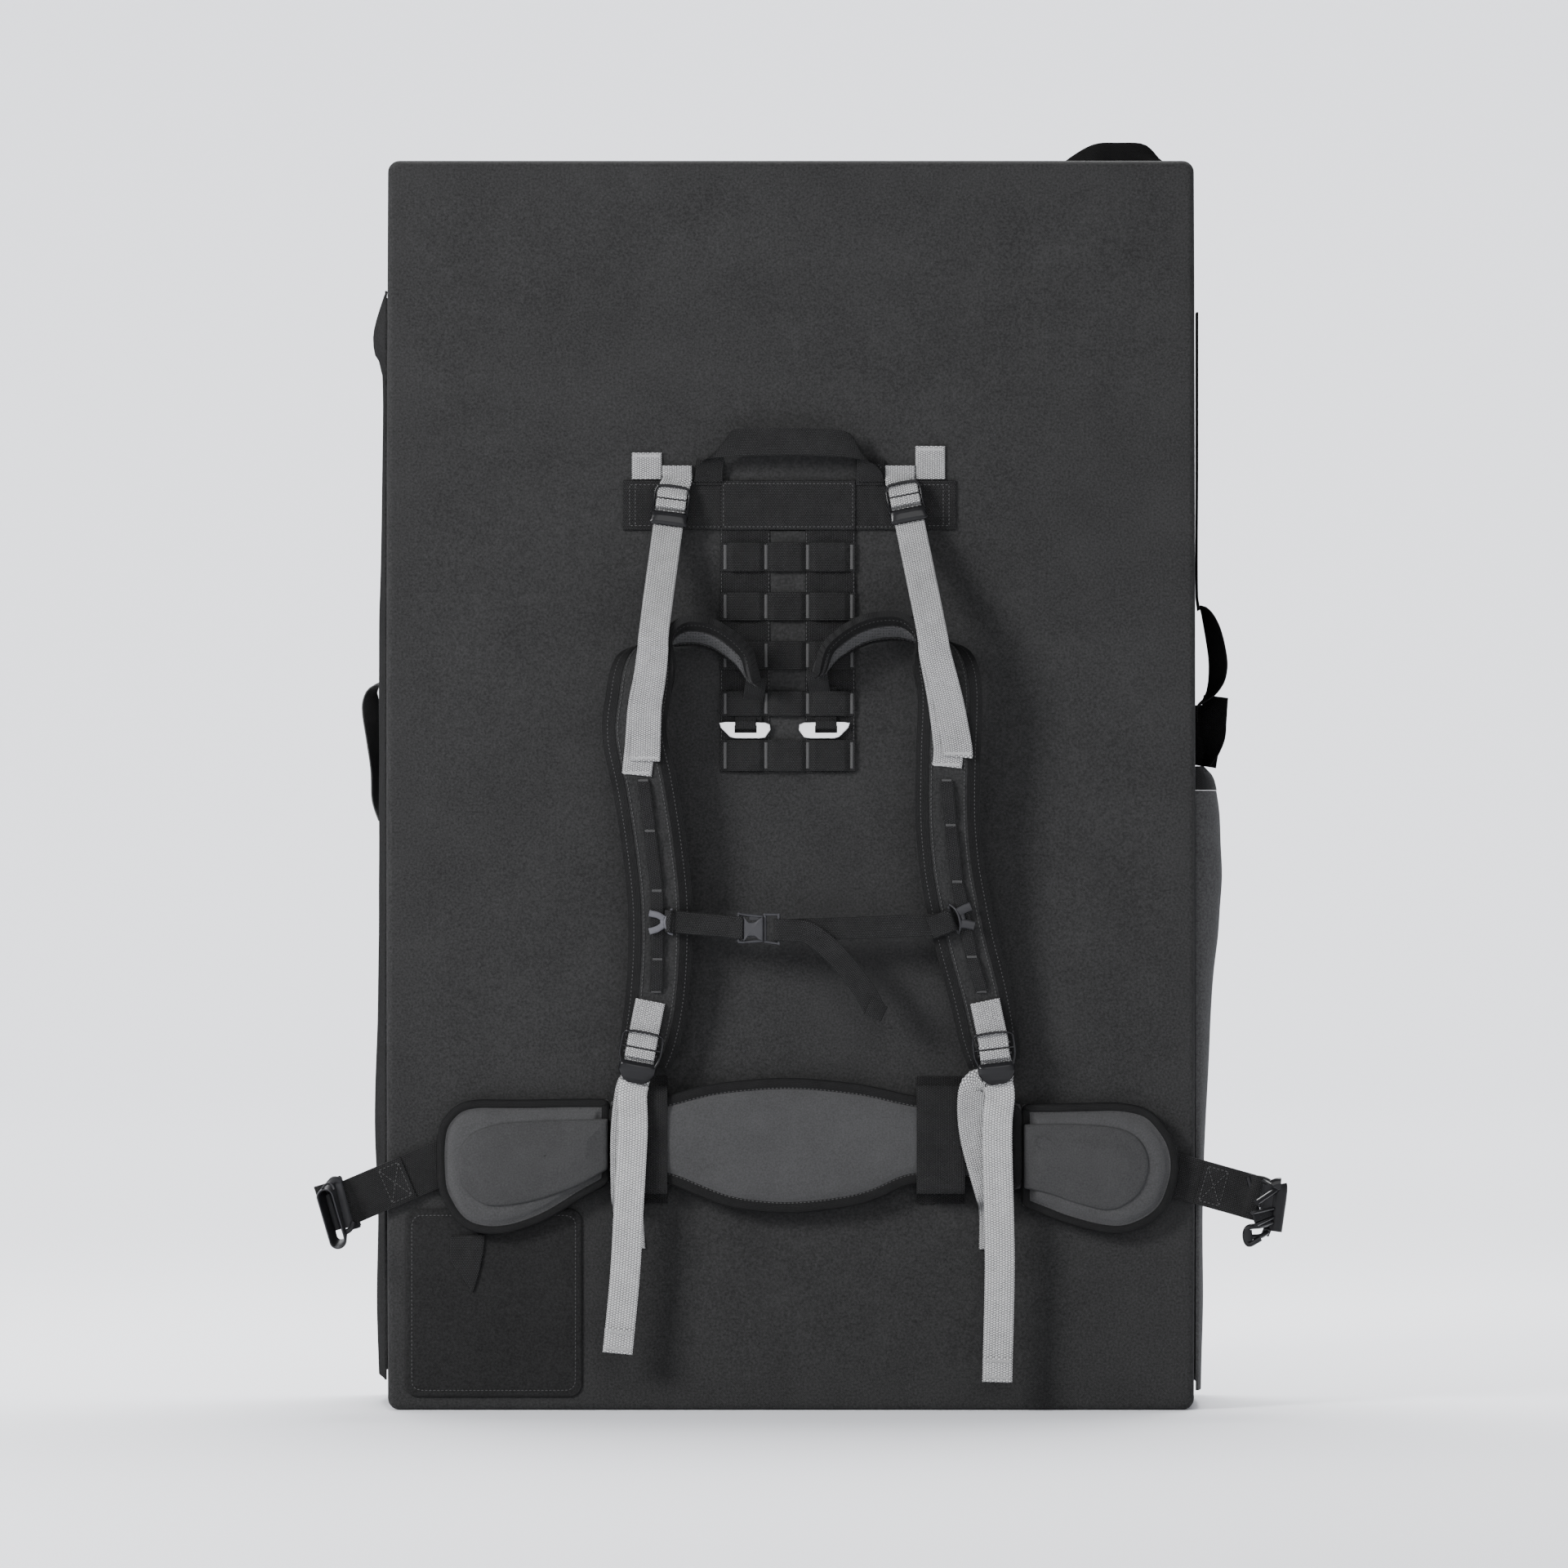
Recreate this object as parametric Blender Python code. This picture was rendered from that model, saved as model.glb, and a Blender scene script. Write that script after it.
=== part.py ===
"""Folding bouldering crash pad with a backpack harness, in metres with +Z up.

The pad stands folded on its short end. The harness faces -Y, the rear half lies
behind the harness half, and the fold runs up the left side, at -X.
"""

import math

import bmesh
import bpy
from mathutils import Vector

# Pad
pad_width = 0.691
pad_height = 1.067
pad_thickness = 0.127
pad_edge_radius = 0.011
pad_corner_radius = 0.012
side_bulge = 0.002
rear_crown = 0.007
half_gap = 0.0006
cover_wall = 0.0016
foam_gap = 0.0005
firm_foam_thickness = 0.025
zip_slot_width = 0.003
zip_slot_length = 0.600

# Webbing, fabric and clearances
webbing_thickness = 0.0016
wide_webbing = 0.0254
narrow_webbing = 0.0180
hip_webbing_width = 0.038
rail_width = 0.0105
fabric_thickness = 0.0018
seat_gap = 0.0003
layer_gap = 0.0004
soft_gap = 0.0005
bar_clearance = 0.0005

# Shoulder pads
shoulder_width = 0.0525
shoulder_thickness = 0.011

# Ladder-lock buckles
lock_width = 0.0315
lock_thickness = 0.0040
lock_bar = 0.0040
lock_slot = 0.0052
lock_slot_length = 0.0268
upper_lock_lip = 0.0090
lower_lock_lip = 0.0150
tail_gap = 0.0017
tail_straight = 0.0110
lock_bevel = 0.0009

# Chest buckle and sliders
chest_webbing = 0.0190
chest_buckle_height = 0.0265
chest_buckle_thickness = 0.0090
chest_wall = 0.0016
chest_bar = 0.0034
chest_slot = 0.0046
chest_slot_height = 0.0205
chest_stem_height = 0.0050
chest_plug_thickness = 0.0046
latch_height = 0.0052
latch_play = 0.0004
latch_reach_share = 0.94
slider_plate = 0.0028
slider_lip = 0.0012
slider_play = 0.0026
slider_room = 0.0014
slider_height = 0.0223
rail_lift = 0.0024

# Hip belt
lumbar_back_gap = 0.0004
lumbar_thickness = 0.022
belt_rim_thickness = 0.008
wing_pad_rise = 0.007
wing_standoff = 0.0070
belt_binding = 0.008
hip_buckle_width = 0.052
hip_buckle_length = 0.034
hip_buckle_thickness = 0.010
hip_buckle_wall = 0.0022
hip_bar = 0.0042
hip_slot = 0.0050
hip_slot_length = 0.0400
hip_plug_thickness = 0.0050
hip_prong_width = 0.0080
hip_prong_length = 0.0230
hip_buckle_turn = math.radians(66)

# Hooks and webbing ladder
hook_thickness = 0.0030
hook_webbing_thickness = 0.0010
ladder_base = 0.0010
ladder_row = 0.0016
ladder_lift = 0.0031
tack_width = 0.0030
slider_bar = 0.0030

# The photograph's own grid, which places what is sewn on the harness face
photo_middle = 968.5
photo_floor = 1727
pad_width_pixels = 991
pad_height_pixels = 1531

across_pixel = pad_width / pad_width_pixels
up_pixel = pad_height / pad_height_pixels
half_width = pad_width / 2
half_thickness = pad_thickness / 2
face = -half_thickness
rear_start = half_thickness + half_gap
rear_end = rear_start + pad_thickness
toward_viewer = Vector((0, -1, 0))
upward = Vector((0, 0, 1))
sideways = Vector((1, 0, 0))
backward = Vector((0, 1, 0))

charcoal = (0.040, 0.040, 0.043)
black = (0.014, 0.014, 0.016)
pale_grey = (0.480, 0.480, 0.490)
flap_grey = (0.250, 0.250, 0.260)
mesh_grey = (0.090, 0.090, 0.093)
foam_blue = (0.300, 0.360, 0.450)
metal_grey = (0.730, 0.730, 0.740)
plastic_black = (0.018, 0.018, 0.020)
plastic_grey = (0.110, 0.110, 0.115)


def px(column):
    """Sideways place of a photograph column."""
    return (column - photo_middle) * across_pixel


def pz(row):
    """Height of a photograph row."""
    return (photo_floor - row) * up_pixel


def at(column, row, depth):
    """Point at a photograph place, at a depth measured along Y."""
    return Vector((px(column), depth, pz(row)))


def clear_scene():
    for thing in list(bpy.data.objects):
        bpy.data.objects.remove(thing, do_unlink=True)


def look(colour, roughness, metallic=0):
    return colour, roughness, metallic


cloth = look(charcoal, 0.85)
black_cloth = look(black, 0.80)
pale_cloth = look(pale_grey, 0.80)
grey_cloth = look(flap_grey, 0.85)
mesh_cloth = look(mesh_grey, 0.90)
foam = look(foam_blue, 0.95)
metal = look(metal_grey, 0.35, 1)
plastic = look(plastic_black, 0.45)
grey_plastic = look(plastic_grey, 0.40)


def add_object(name, corners, faces, finish):
    """Mesh object with its own material, faces turned outwards."""
    mesh = bpy.data.meshes.new(name)
    mesh.from_pydata([tuple(corner) for corner in corners], [], faces)
    shape = bmesh.new()
    shape.from_mesh(mesh)
    bmesh.ops.recalc_face_normals(shape, faces=shape.faces)
    shape.to_mesh(mesh)
    shape.free()
    thing = bpy.data.objects.new(name, mesh)
    bpy.context.scene.collection.objects.link(thing)
    if finish:
        colour, roughness, metallic = finish
        material = bpy.data.materials.new(name + "_look")
        material.use_nodes = True
        shader = material.node_tree.nodes["Principled BSDF"]
        shader.inputs["Base Color"].default_value = (*colour, 1)
        shader.inputs["Roughness"].default_value = roughness
        shader.inputs["Metallic"].default_value = metallic
        mesh.materials.append(material)
    return thing


def ring_faces(count, size, closed=False):
    """Faces that join a row of equal rings, capped unless they close on themselves."""
    faces = []
    for ring in range(count if closed else count - 1):
        following = (ring + 1) % count
        for side in range(size):
            beside = (side + 1) % size
            faces.append((
                ring * size + side,
                ring * size + beside,
                following * size + beside,
                following * size + side,
            ))
    if not closed:
        faces.append(tuple(range(size)))
        faces.append(tuple(range((count - 1) * size, count * size)))
    return faces


def from_rings(name, rings, finish, closed=False):
    corners = [corner for ring in rings for corner in ring]
    return add_object(name, corners, ring_faces(len(rings), len(rings[0]), closed), finish)


def smooth_line(points, steps, closed=False):
    """Even curve through the points, with a number of steps between neighbours."""
    count = len(points)
    made = []
    for index in range(count if closed else count - 1):
        if closed:
            four = [points[(index + shift) % count] for shift in (-1, 0, 1, 2)]
        else:
            four = [points[min(max(index + shift, 0), count - 1)] for shift in (-1, 0, 1, 2)]
        before, start, end, after = four
        for step in range(steps):
            t = step / steps
            made.append((
                start * 2
                + (end - before) * t
                + (before * 2 - start * 5 + end * 4 - after) * t**2
                + (start * 3 - before - end * 3 + after) * t**3
            ) / 2)
    if not closed:
        made.append(points[-1].copy())
    return made


def sweep(name, line, hints, section, finish, closed=False):
    """Section carried along a line. A hint is the direction of its width at a point."""
    count = len(line)
    rings = []
    for index in range(count):
        here = line[index]
        if closed:
            before, after = line[index - 1], line[(index + 1) % count]
        else:
            before, after = line[max(index - 1, 0)], line[min(index + 1, count - 1)]
        first = (here - before).normalized() if index or closed else (after - here).normalized()
        last = (after - here).normalized() if index < count - 1 or closed else first
        along = (first + last).normalized()
        hint = hints[index] if isinstance(hints, list) else hints
        wide = (hint - along * hint.dot(along)).normalized()
        thick = along.cross(wide)
        bend = last - first
        stretch = 0
        if bend.length > 0.001:
            stretch = 2 / (first + last).length - 1
            bend.normalize()
        ring = []
        profile = section[index] if isinstance(section, list) else section
        for u, v in profile:
            offset = wide * u + thick * v
            offset += bend * (offset.dot(bend) * stretch)
            ring.append(here + offset)
        rings.append(ring)
    return from_rings(name, rings, finish, closed)


def flat_section(width, thickness):
    u = width / 2
    v = thickness / 2
    return ((-u, -v), (u, -v), (u, v), (-u, v))


def strap(name, line, width, finish, hints=upward, thickness=webbing_thickness, closed=False):
    return sweep(name, line, hints, flat_section(width, thickness), finish, closed)


def facing_hints(line, facing):
    """Width directions that keep a strap's flat side turned to one direction."""
    hints = []
    for index in range(len(line)):
        before, after = line[max(index - 1, 0)], line[min(index + 1, len(line) - 1)]
        hints.append((after - before).cross(facing).normalized())
    return hints


class Place:
    """Local frame: u to the right, v up the piece, w out of its face."""

    def __init__(self, origin, up=upward, out=toward_viewer):
        self.origin = origin
        self.up = up.normalized()
        self.out = (out - self.up * out.dot(self.up)).normalized()
        self.right = self.up.cross(self.out)

    def at(self, u, v, w):
        return self.origin + self.right * u + self.up * v + self.out * w


def inset(outline, distance):
    """Outline moved inwards, each corner along the middle of its two sides."""
    count = len(outline)
    area = sum(
        outline[i - 1][0] * outline[i][1] - outline[i][0] * outline[i - 1][1]
        for i in range(count)
    )
    turn = 1 if area > 0 else -1
    made = []
    for index in range(count):
        here = Vector(outline[index])
        first = (here - Vector(outline[index - 1])).normalized()
        last = (Vector(outline[(index + 1) % count]) - here).normalized()
        normal = Vector((-(first + last).y, (first + last).x)).normalized() * turn
        square = Vector((-first.y, first.x)).dot(normal) * turn
        made.append(here + normal * (distance / max(square, 0.5)))
    return [(point[0], point[1]) for point in made]


def layered(name, place, outline, layers, finish):
    """Outline stacked through (inset, height) layers along w."""
    rings = []
    for distance, w in layers:
        rings.append([place.at(u, v, w) for u, v in inset(outline, distance)])
    return from_rings(name, rings, finish)


def plate(name, place, outline, low, high, edge, finish):
    layers = ((edge, low), (0, low + edge), (0, high - edge), (edge, high))
    return layered(name, place, outline, layers, finish)


def box(name, place, u, v, w, finish=None):
    outline = ((u[0], v[0]), (u[1], v[0]), (u[1], v[1]), (u[0], v[1]))
    rings = [[place.at(a, b, c) for a, b in outline] for c in w]
    return from_rings(name, rings, finish)


def combine(body, tool, operation="DIFFERENCE"):
    modifier = body.modifiers.new("cut", "BOOLEAN")
    modifier.operation = operation
    modifier.solver = "EXACT"
    modifier.object = tool
    tool.hide_render = True
    tool.display_type = "WIRE"


def rounded_rectangle(half_u, low, high, radius, steps=3, bulge=0):
    """Outline with round corners, its two upright sides swelling by bulge."""
    made = []
    corners = (
        (half_u - radius, low + radius, -90),
        (half_u - radius, high - radius, 0),
        (radius - half_u, high - radius, 90),
        (radius - half_u, low + radius, 180),
    )
    side_shares = (0.25, 0.5, 0.75)
    for corner, (u, v, start) in enumerate(corners):
        for step in range(steps + 1):
            angle = math.radians(start + 90 * step / steps)
            made.append((u + radius * math.cos(angle), v + radius * math.sin(angle)))
        if bulge and corner in (0, 2):
            sign = 1 if corner == 0 else -1
            for share in side_shares:
                up_share = share if corner == 0 else 1 - share
                swell = bulge * (1 - (2 * share - 1) ** 2)
                made.append((sign * (half_u + swell), low + (high - low) * up_share))
    return made


# Pad halves


def pillow(name, half_u, low, high, start, end, edge, crown, finish, bulge=0):
    """Upholstered block between two Y planes. Its +Y face may be crowned."""
    outline = rounded_rectangle(half_u, low, high, pad_corner_radius, 3, bulge)
    middle = (low + high) / 2
    half_v = (high - low) / 2
    arc_share = 0.3
    layers = [(edge, start), (edge * arc_share, start + edge * arc_share), (0, start + edge)]
    layers += [(0, end - edge), (edge * arc_share, end - edge * arc_share), (edge, end)]
    if crown:
        near_share, far_share, rise_share = 0.22, 0.55, 0.75
        layers.append((half_u * near_share, end + crown * rise_share))
        layers.append((half_u * far_share, end + crown))
    rings = []
    for distance, y in layers:
        shrink_u = 1 - distance / half_u
        shrink_v = 1 - distance / half_v
        rings.append([
            Vector((u * shrink_u, y, middle + (v - middle) * shrink_v)) for u, v in outline
        ])
    return from_rings(name, rings, finish)


def pad_half(prefix, start, crown):
    """Cover with an open zip slot, round a firm and a soft sheet of foam."""
    end = start + pad_thickness
    wide = half_width - side_bulge
    cover = pillow(
        prefix + "_cover", wide, 0, pad_height, start, end - crown, pad_edge_radius, crown,
        cloth, side_bulge,
    )
    inner_low = cover_wall
    inner_high = pad_height - cover_wall
    hollow = pillow(
        prefix + "_hollow", wide - cover_wall, inner_low, inner_high,
        start + cover_wall, end - crown - cover_wall, pad_edge_radius, crown, None, side_bulge,
    )
    combine(cover, hollow)
    slot_middle = start + half_thickness
    reach = cover_wall * 4
    slot = box(
        prefix + "_zip_slot", Place(Vector((-half_width, slot_middle, pad_height / 2))),
        (-reach, reach), (-zip_slot_length / 2, zip_slot_length / 2),
        (-zip_slot_width / 2, zip_slot_width / 2),
    )
    combine(cover, slot)
    inner = cover_wall + foam_gap
    foam_wide = wide - inner
    foam_start = start + inner
    foam_end = end - crown - inner
    split = foam_start + firm_foam_thickness
    if prefix == "rear":
        split = foam_end - firm_foam_thickness
    names = ("_foam_firm", "_foam_soft") if prefix != "rear" else ("_foam_soft", "_foam_firm")
    spans = ((foam_start, split), (split + foam_gap, foam_end))
    for ending, (low_y, high_y) in zip(names, spans):
        pillow(
            prefix + ending, foam_wide, inner, pad_height - inner, low_y, high_y,
            pad_edge_radius, 0, foam,
        )


# Sheets on the sides of the pad


def side_sheet(name, rows, depths, outer, edges, finish, thickness=fabric_thickness):
    """Curved sheet up one side. Rows give its height and outermost place."""
    rings = []
    for row, column in rows:
        reach = px(column)
        sign = 1 if reach > 0 else -1
        rest = sign * edges
        ring = []
        outward = []
        for depth, share in zip(depths, outer):
            outward.append(Vector((rest + (reach - rest) * share, depth, pz(row))))
        inward = [point - sideways * (sign * thickness) for point in reversed(outward)]
        ring = outward + inward
        rings.append(ring)
    return from_rings(name, rings, finish)


spine_rows = (
    (354, 470), (384, 460), (405, 456), (427, 458.6), (452, 468), (559, 467.8), (700, 465.5),
    (799, 463.6), (1078, 463.6), (1260, 461.5), (1376, 458.5), (1487, 462), (1600, 461), (1692, 464),
)
flap_rows = (
    (968, 1490), (996, 1493.6), (1034, 1495), (1074, 1497), (1114, 1494.5), (1147, 1492),
    (1198, 1486), (1290, 1481), (1380, 1476), (1478, 1473), (1589, 1473.5), (1664, 1471.5),
    (1704, 1470.5),
)
binding_rows = ((938, 1474), (948, 1484), (957, 1488), (967.6, 1490.5))
sheet_reach_share = 0.78
flap_front_share = 0.60


def build_side_sheets():
    wall = half_width + fabric_thickness + soft_gap
    middle = (face + rear_end) / 2
    spine_span = (rear_end - middle) * sheet_reach_share
    spine_steps = (-1, -0.7, -0.35, 0, 0.35, 0.7, 1)
    spine_shares = (0, 0.35, 0.8, 1, 0.8, 0.35, 0)
    depths = [middle + spine_span * step for step in spine_steps]
    side_sheet("spine_cover", spine_rows, depths, spine_shares, wall, cloth)
    front = face * flap_front_share
    back = rear_end - pad_edge_radius
    flap_steps = (0, 0.12, 0.3, 0.5, 0.7, 0.85, 1)
    flap_shares = (0.62, 0.9, 1, 0.92, 0.6, 0.25, 0)
    depths = [front + (back - front) * step for step in flap_steps]
    side_sheet("closure_flap", flap_rows, depths, flap_shares, wall, grey_cloth)
    side_sheet("flap_binding", binding_rows, depths, flap_shares, wall, black_cloth)


# Handles and closure on the outline of the pad


# Columns, then rises or rows in pixels, and how far each webbing is turned to the viewer
loop_depth_share = 0.35
top_handle_pixels = (
    (1304, 0, 0), (1318, 0, 0), (1334, 7, 0.32), (1350, 10.5, 0.5), (1372, 11, 0.52),
    (1398, 10.5, 0.5), (1413, 7, 0.32), (1422, 0, 0), (1434, 0, 0),
)
loop_pixels = (
    (1471, 741, -0.1), (1478, 752, -0.35), (1485, 772, -0.52), (1490.5, 800, -0.58),
    (1491.5, 818, -0.58), (1489, 834, -0.5), (1482, 849, -0.3), (1474, 858, -0.1),
)
closure_pixels = (
    (1490.5, 868, -0.5), (1490.5, 884, -0.55), (1488, 902, -0.5), (1481, 921, -0.35),
    (1472.5, 937.1, -0.1),
)
side_handle_pixels = (
    (465.0, 834, 0), (457, 843, 0.3), (454.2, 856, 0.5), (454.4, 872, 0.55), (457.6, 908, 0.42),
    (460, 943, 0.28), (460.6, 980, 0.22), (465.0, 1006, 0),
)


def turned_hint(share, toward):
    """Width direction of webbing that lies front to back, turned by a share to another way."""
    return backward * math.sqrt(1 - share * share) + toward * share


def build_edge_handles():
    mid_half = 0
    lift = webbing_thickness / 2 + seat_gap
    line = [
        Vector((px(column), mid_half, pad_height + lift + rise * up_pixel))
        for column, rise, share in top_handle_pixels
    ]
    hints = [turned_hint(share, upward) for column, rise, share in top_handle_pixels]
    strap("top_handle", line, wide_webbing, black_cloth, hints)
    side = half_width + lift
    tape_column = photo_middle + side / across_pixel
    ends = ((tape_column, 380, 0), (tape_column, 560, 0), (tape_column, 732, 0))
    loop_depth = face * loop_depth_share
    loop_rows = ends + loop_pixels + ((tape_column, 866, 0), (tape_column, 884, 0))
    line = [at(column, row, loop_depth) for column, row, share in loop_rows]
    hints = [turned_hint(share, sideways) for column, row, share in loop_rows]
    strap("loop_handle_right", line, wide_webbing, black_cloth, hints)
    line = [at(column, row, loop_depth) for column, row, share in closure_pixels]
    hints = [turned_hint(share, sideways) for column, row, share in closure_pixels]
    strap("closure_strap", smooth_line(line, 2), wide_webbing, black_cloth, smooth_line(hints, 2))
    depth = rear_start + half_thickness
    line = [at(column, row, depth) for column, row, share in side_handle_pixels]
    hints = [turned_hint(share, sideways) for column, row, share in side_handle_pixels]
    strap("side_handle_left", smooth_line(line, 2), wide_webbing, black_cloth, smooth_line(hints, 2))

# Layers of webbing sewn on the harness face

first_layer = face - seat_gap - webbing_thickness / 2
layer_step = webbing_thickness + layer_gap
second_layer = first_layer - layer_step


def stepped_band(name, spans, low_row, high_row, finish):
    """Band across the face, whose thickness steps from span to span."""
    back = face - seat_gap
    outline = [(px(spans[0][0]), back)]
    for start, end, thickness in spans:
        outline.append((px(start), back - thickness))
        outline.append((px(end), back - thickness))
    outline.append((px(spans[-1][1]), back))
    rings = [[Vector((x, y, pz(row))) for x, y in outline] for row in (low_row, high_row)]
    return from_rings(name, rings, finish)


band_spans = (
    (763, 851, webbing_thickness),
    (851, 1083, webbing_thickness * 2),
    (1083, 1170, webbing_thickness),
)
row_pixels = ((664, 700), (725, 760), (785, 820), (846, 877), (906, 944))
tack_pixels = (885, 938, 987, 1044)
ladder_sides = (882, 1047)
ladder_ends = (648.8, 946)
handle_pixels = (
    (868, 578, 0), (874, 562, 0.3), (890, 547, 0.7), (920, 541.5, 0.95), (965, 541, 1),
    (1010, 541.5, 0.95), (1042, 547, 0.7), (1058, 562, 0.3), (1066, 578, 0),
)
handle_bow = 0.018


ladder_lap_rows = 1


def build_yoke():
    stepped_band("yoke_band", band_spans, 649, 588, black_cloth)
    back = face - seat_gap
    base = stepped_band(
        "webbing_ladder", ((ladder_sides[0], ladder_sides[1], ladder_base),),
        ladder_ends[1], ladder_ends[0] + ladder_lap_rows, black_cloth,
    )
    top = back - ladder_base
    inner = top - ladder_lift
    outer = inner - ladder_row
    sunk = ladder_base / 2
    tack = tack_width / across_pixel
    left, right = ladder_sides
    bays = [(tack_pixels[i] + tack, tack_pixels[i + 1] - tack) for i in range(3)]
    slope = ladder_lift / across_pixel
    outline = [(left, top + sunk), (left, top - ladder_row)]
    for start, end in bays:
        outline += [(start, top - ladder_row), (start + slope, outer)]
        outline += [(end - slope, outer), (end, top - ladder_row)]
    outline += [(right, top - ladder_row), (right, top + sunk)]
    inner_edge = []
    for start, end in reversed(bays):
        lean = slope + tack / 3
        inner_edge += [(end + tack / 3, top + sunk), (end - lean, inner)]
        inner_edge += [(start + lean, inner), (start - tack / 3, top + sunk)]
    for number, (high, low) in enumerate(row_pixels):
        rings = [
            [Vector((px(column), depth, pz(row))) for column, depth in outline + inner_edge]
            for row in (low, high)
        ]
        piece = from_rings(f"ladder_row_{number}", rings, None)
        combine(base, piece, "UNION")
    rest = face - seat_gap - webbing_thickness * 2 - seat_gap - webbing_thickness / 2
    line = [at(column, row, rest - handle_bow * share) for column, row, share in handle_pixels]
    line = smooth_line(line, 2)
    strap("grab_handle", line, wide_webbing, black_cloth, facing_hints(line, toward_viewer))


# Aluminium hooks and the webbing that carries them under the fourth row

hook_shares = (
    (-0.52, 0.44), (-0.49, 0.15), (-0.30, -0.42), (-0.20, -0.50), (0.28, -0.50), (0.40, -0.44),
    (0.51, 0.02), (0.50, 0.34), (0.40, 0.46), (0, 0.50), (-0.40, 0.50),
)
hook_width = 0.0425
hook_height = 0.0145
hook_slot_height = 0.0062
hook_rail = 0.0034


hook_turn_share = 1.6


def build_hook(side, middle_column, middle_row, webbing_column, top_row):
    base_top = face - seat_gap - ladder_base
    near = base_top - layer_gap - hook_webbing_thickness / 2
    depth = near - hook_webbing_thickness / 2 - bar_clearance - hook_thickness / 2
    place = Place(at(middle_column, middle_row, depth))
    sign = 1 if side == "left" else -1
    outline = [(u * hook_width * sign, v * hook_height) for u, v in hook_shares]
    if sign < 0:
        outline.reverse()
    half = hook_thickness / 2
    hook = plate("hook_" + side, place, outline, -half, half, hook_thickness / 5, metal)
    centre = px(webbing_column) - px(middle_column)
    slot_half = narrow_webbing / 2 + bar_clearance
    high = hook_height / 2 - hook_rail
    slot = box(
        f"hook_slot_{side}", place, (centre - slot_half, centre + slot_half),
        (high - hook_slot_height, high), (-hook_thickness, hook_thickness),
    )
    combine(hook, slot)
    reach = half + bar_clearance + hook_webbing_thickness / 2
    top = hook_height / 2 + reach
    under = high - reach
    far_leg = reach
    close_leg = -reach + hook_webbing_thickness + layer_gap
    rise = pz(top_row) - pz(middle_row)
    bar_top = hook_height / 2
    points = (
        (rise, -reach), (under + reach / 2, -reach), (under, -reach / 2),
        (under, reach / 2), (under + reach / 2, far_leg), (bar_top, far_leg),
        (bar_top + reach * hook_turn_share, close_leg), (rise, close_leg),
    )
    line = [place.at(centre, v, w) for v, w in points]
    strap(
        "hook_webbing_" + side, line, narrow_webbing, black_cloth, sideways,
        hook_webbing_thickness,
    )


# Shoulder pads: station column, row, depth share, twist in quarter turns, width share

left_shoulder = (
    (926, 838, 1.29, 0, 0.40), (906, 802, 1.43, 0, 0.75), (872, 778, 1.50, 0.02, 0.92),
    (836, 774, 1.54, 0.12, 0.96), (808, 790, 1.62, 0.45, 0.98), (790, 820, 1.74, 0.85, 1),
    (782, 856, 1.76, 1, 1), (778, 900, 1.74, 1, 1), (790, 960, 1.68, 1, 1), (801, 1030, 1.62, 1, 1),
    (808.5, 1100, 1.54, 1, 1), (809, 1160, 1.46, 1, 0.99), (805, 1220, 1.40, 1, 0.98),
    (797, 1270, 1.34, 1, 0.93), (790, 1302, 1.30, 1, 0.80),
)
right_shoulder = (
    (1000, 828, 1.29, 0, 0.40), (1022, 795, 1.43, 0, 0.75), (1060, 772, 1.50, 0.02, 0.92),
    (1104, 768, 1.54, 0.12, 0.96), (1136, 786, 1.62, 0.45, 0.98), (1154, 815, 1.74, 0.85, 1),
    (1162, 850, 1.76, 1, 1), (1160, 927, 1.72, 1, 1), (1159.5, 1000, 1.65, 1, 1),
    (1164.5, 1060, 1.59, 1, 1), (1171.5, 1100, 1.54, 1, 1), (1182, 1150, 1.47, 1, 0.99),
    (1199, 1215, 1.40, 1, 0.97), (1210, 1268, 1.34, 1, 0.93), (1217, 1302, 1.30, 1, 0.80),
)
band_shares = (
    (-0.5, -0.15), (-0.44, -0.5), (0.44, -0.5), (0.5, -0.15),
    (0.5, 0.15), (0.44, 0.5), (-0.44, 0.5), (-0.5, 0.15),
)


def build_shoulder(side, stations):
    """Padded strap that arches edge-on from the ladder and turns flat to hang down."""
    sign = 1 if side == "left" else -1
    steps = 2
    line = smooth_line([at(c, r, face * d) for c, r, d, _, _ in stations], steps)
    twists = smooth_line([Vector((t, w, 0)) for _, _, _, t, w in stations], steps)
    hints = []
    sections = []
    for value in twists:
        angle = math.radians(90) * min(max(value.x, 0), 1)
        hints.append(sideways * (sign * math.sin(angle)) + toward_viewer * math.cos(angle))
        width = shoulder_width * value.y
        sections.append([(u * width, v * shoulder_thickness) for u, v in band_shares])
    sweep("shoulder_pad_" + side, line, hints, sections, cloth)
    return line


def pad_front(line, height):
    """Place across and front surface depth of a shoulder pad at a height."""
    hanging = line[len(line) // 3:]
    for upper, lower in zip(hanging, hanging[1:]):
        if upper.z >= height >= lower.z:
            share = (upper.z - height) / (upper.z - lower.z)
            centre = upper.lerp(lower, share)
            return centre.x, centre.y - shoulder_thickness / 2
    last = hanging[-1]
    return last.x, last.y - shoulder_thickness / 2


rail_pixels = {
    "left": ((956, 788.5), (1017, 796.5), (1090, 805), (1174, 805.5), (1213, 804)),
    "right": ((956, 1158), (1010, 1163), (1079, 1171), (1171, 1189), (1213, 1201)),
}
rail_flat_shares = (0, 0.16, 0.84)


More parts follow.
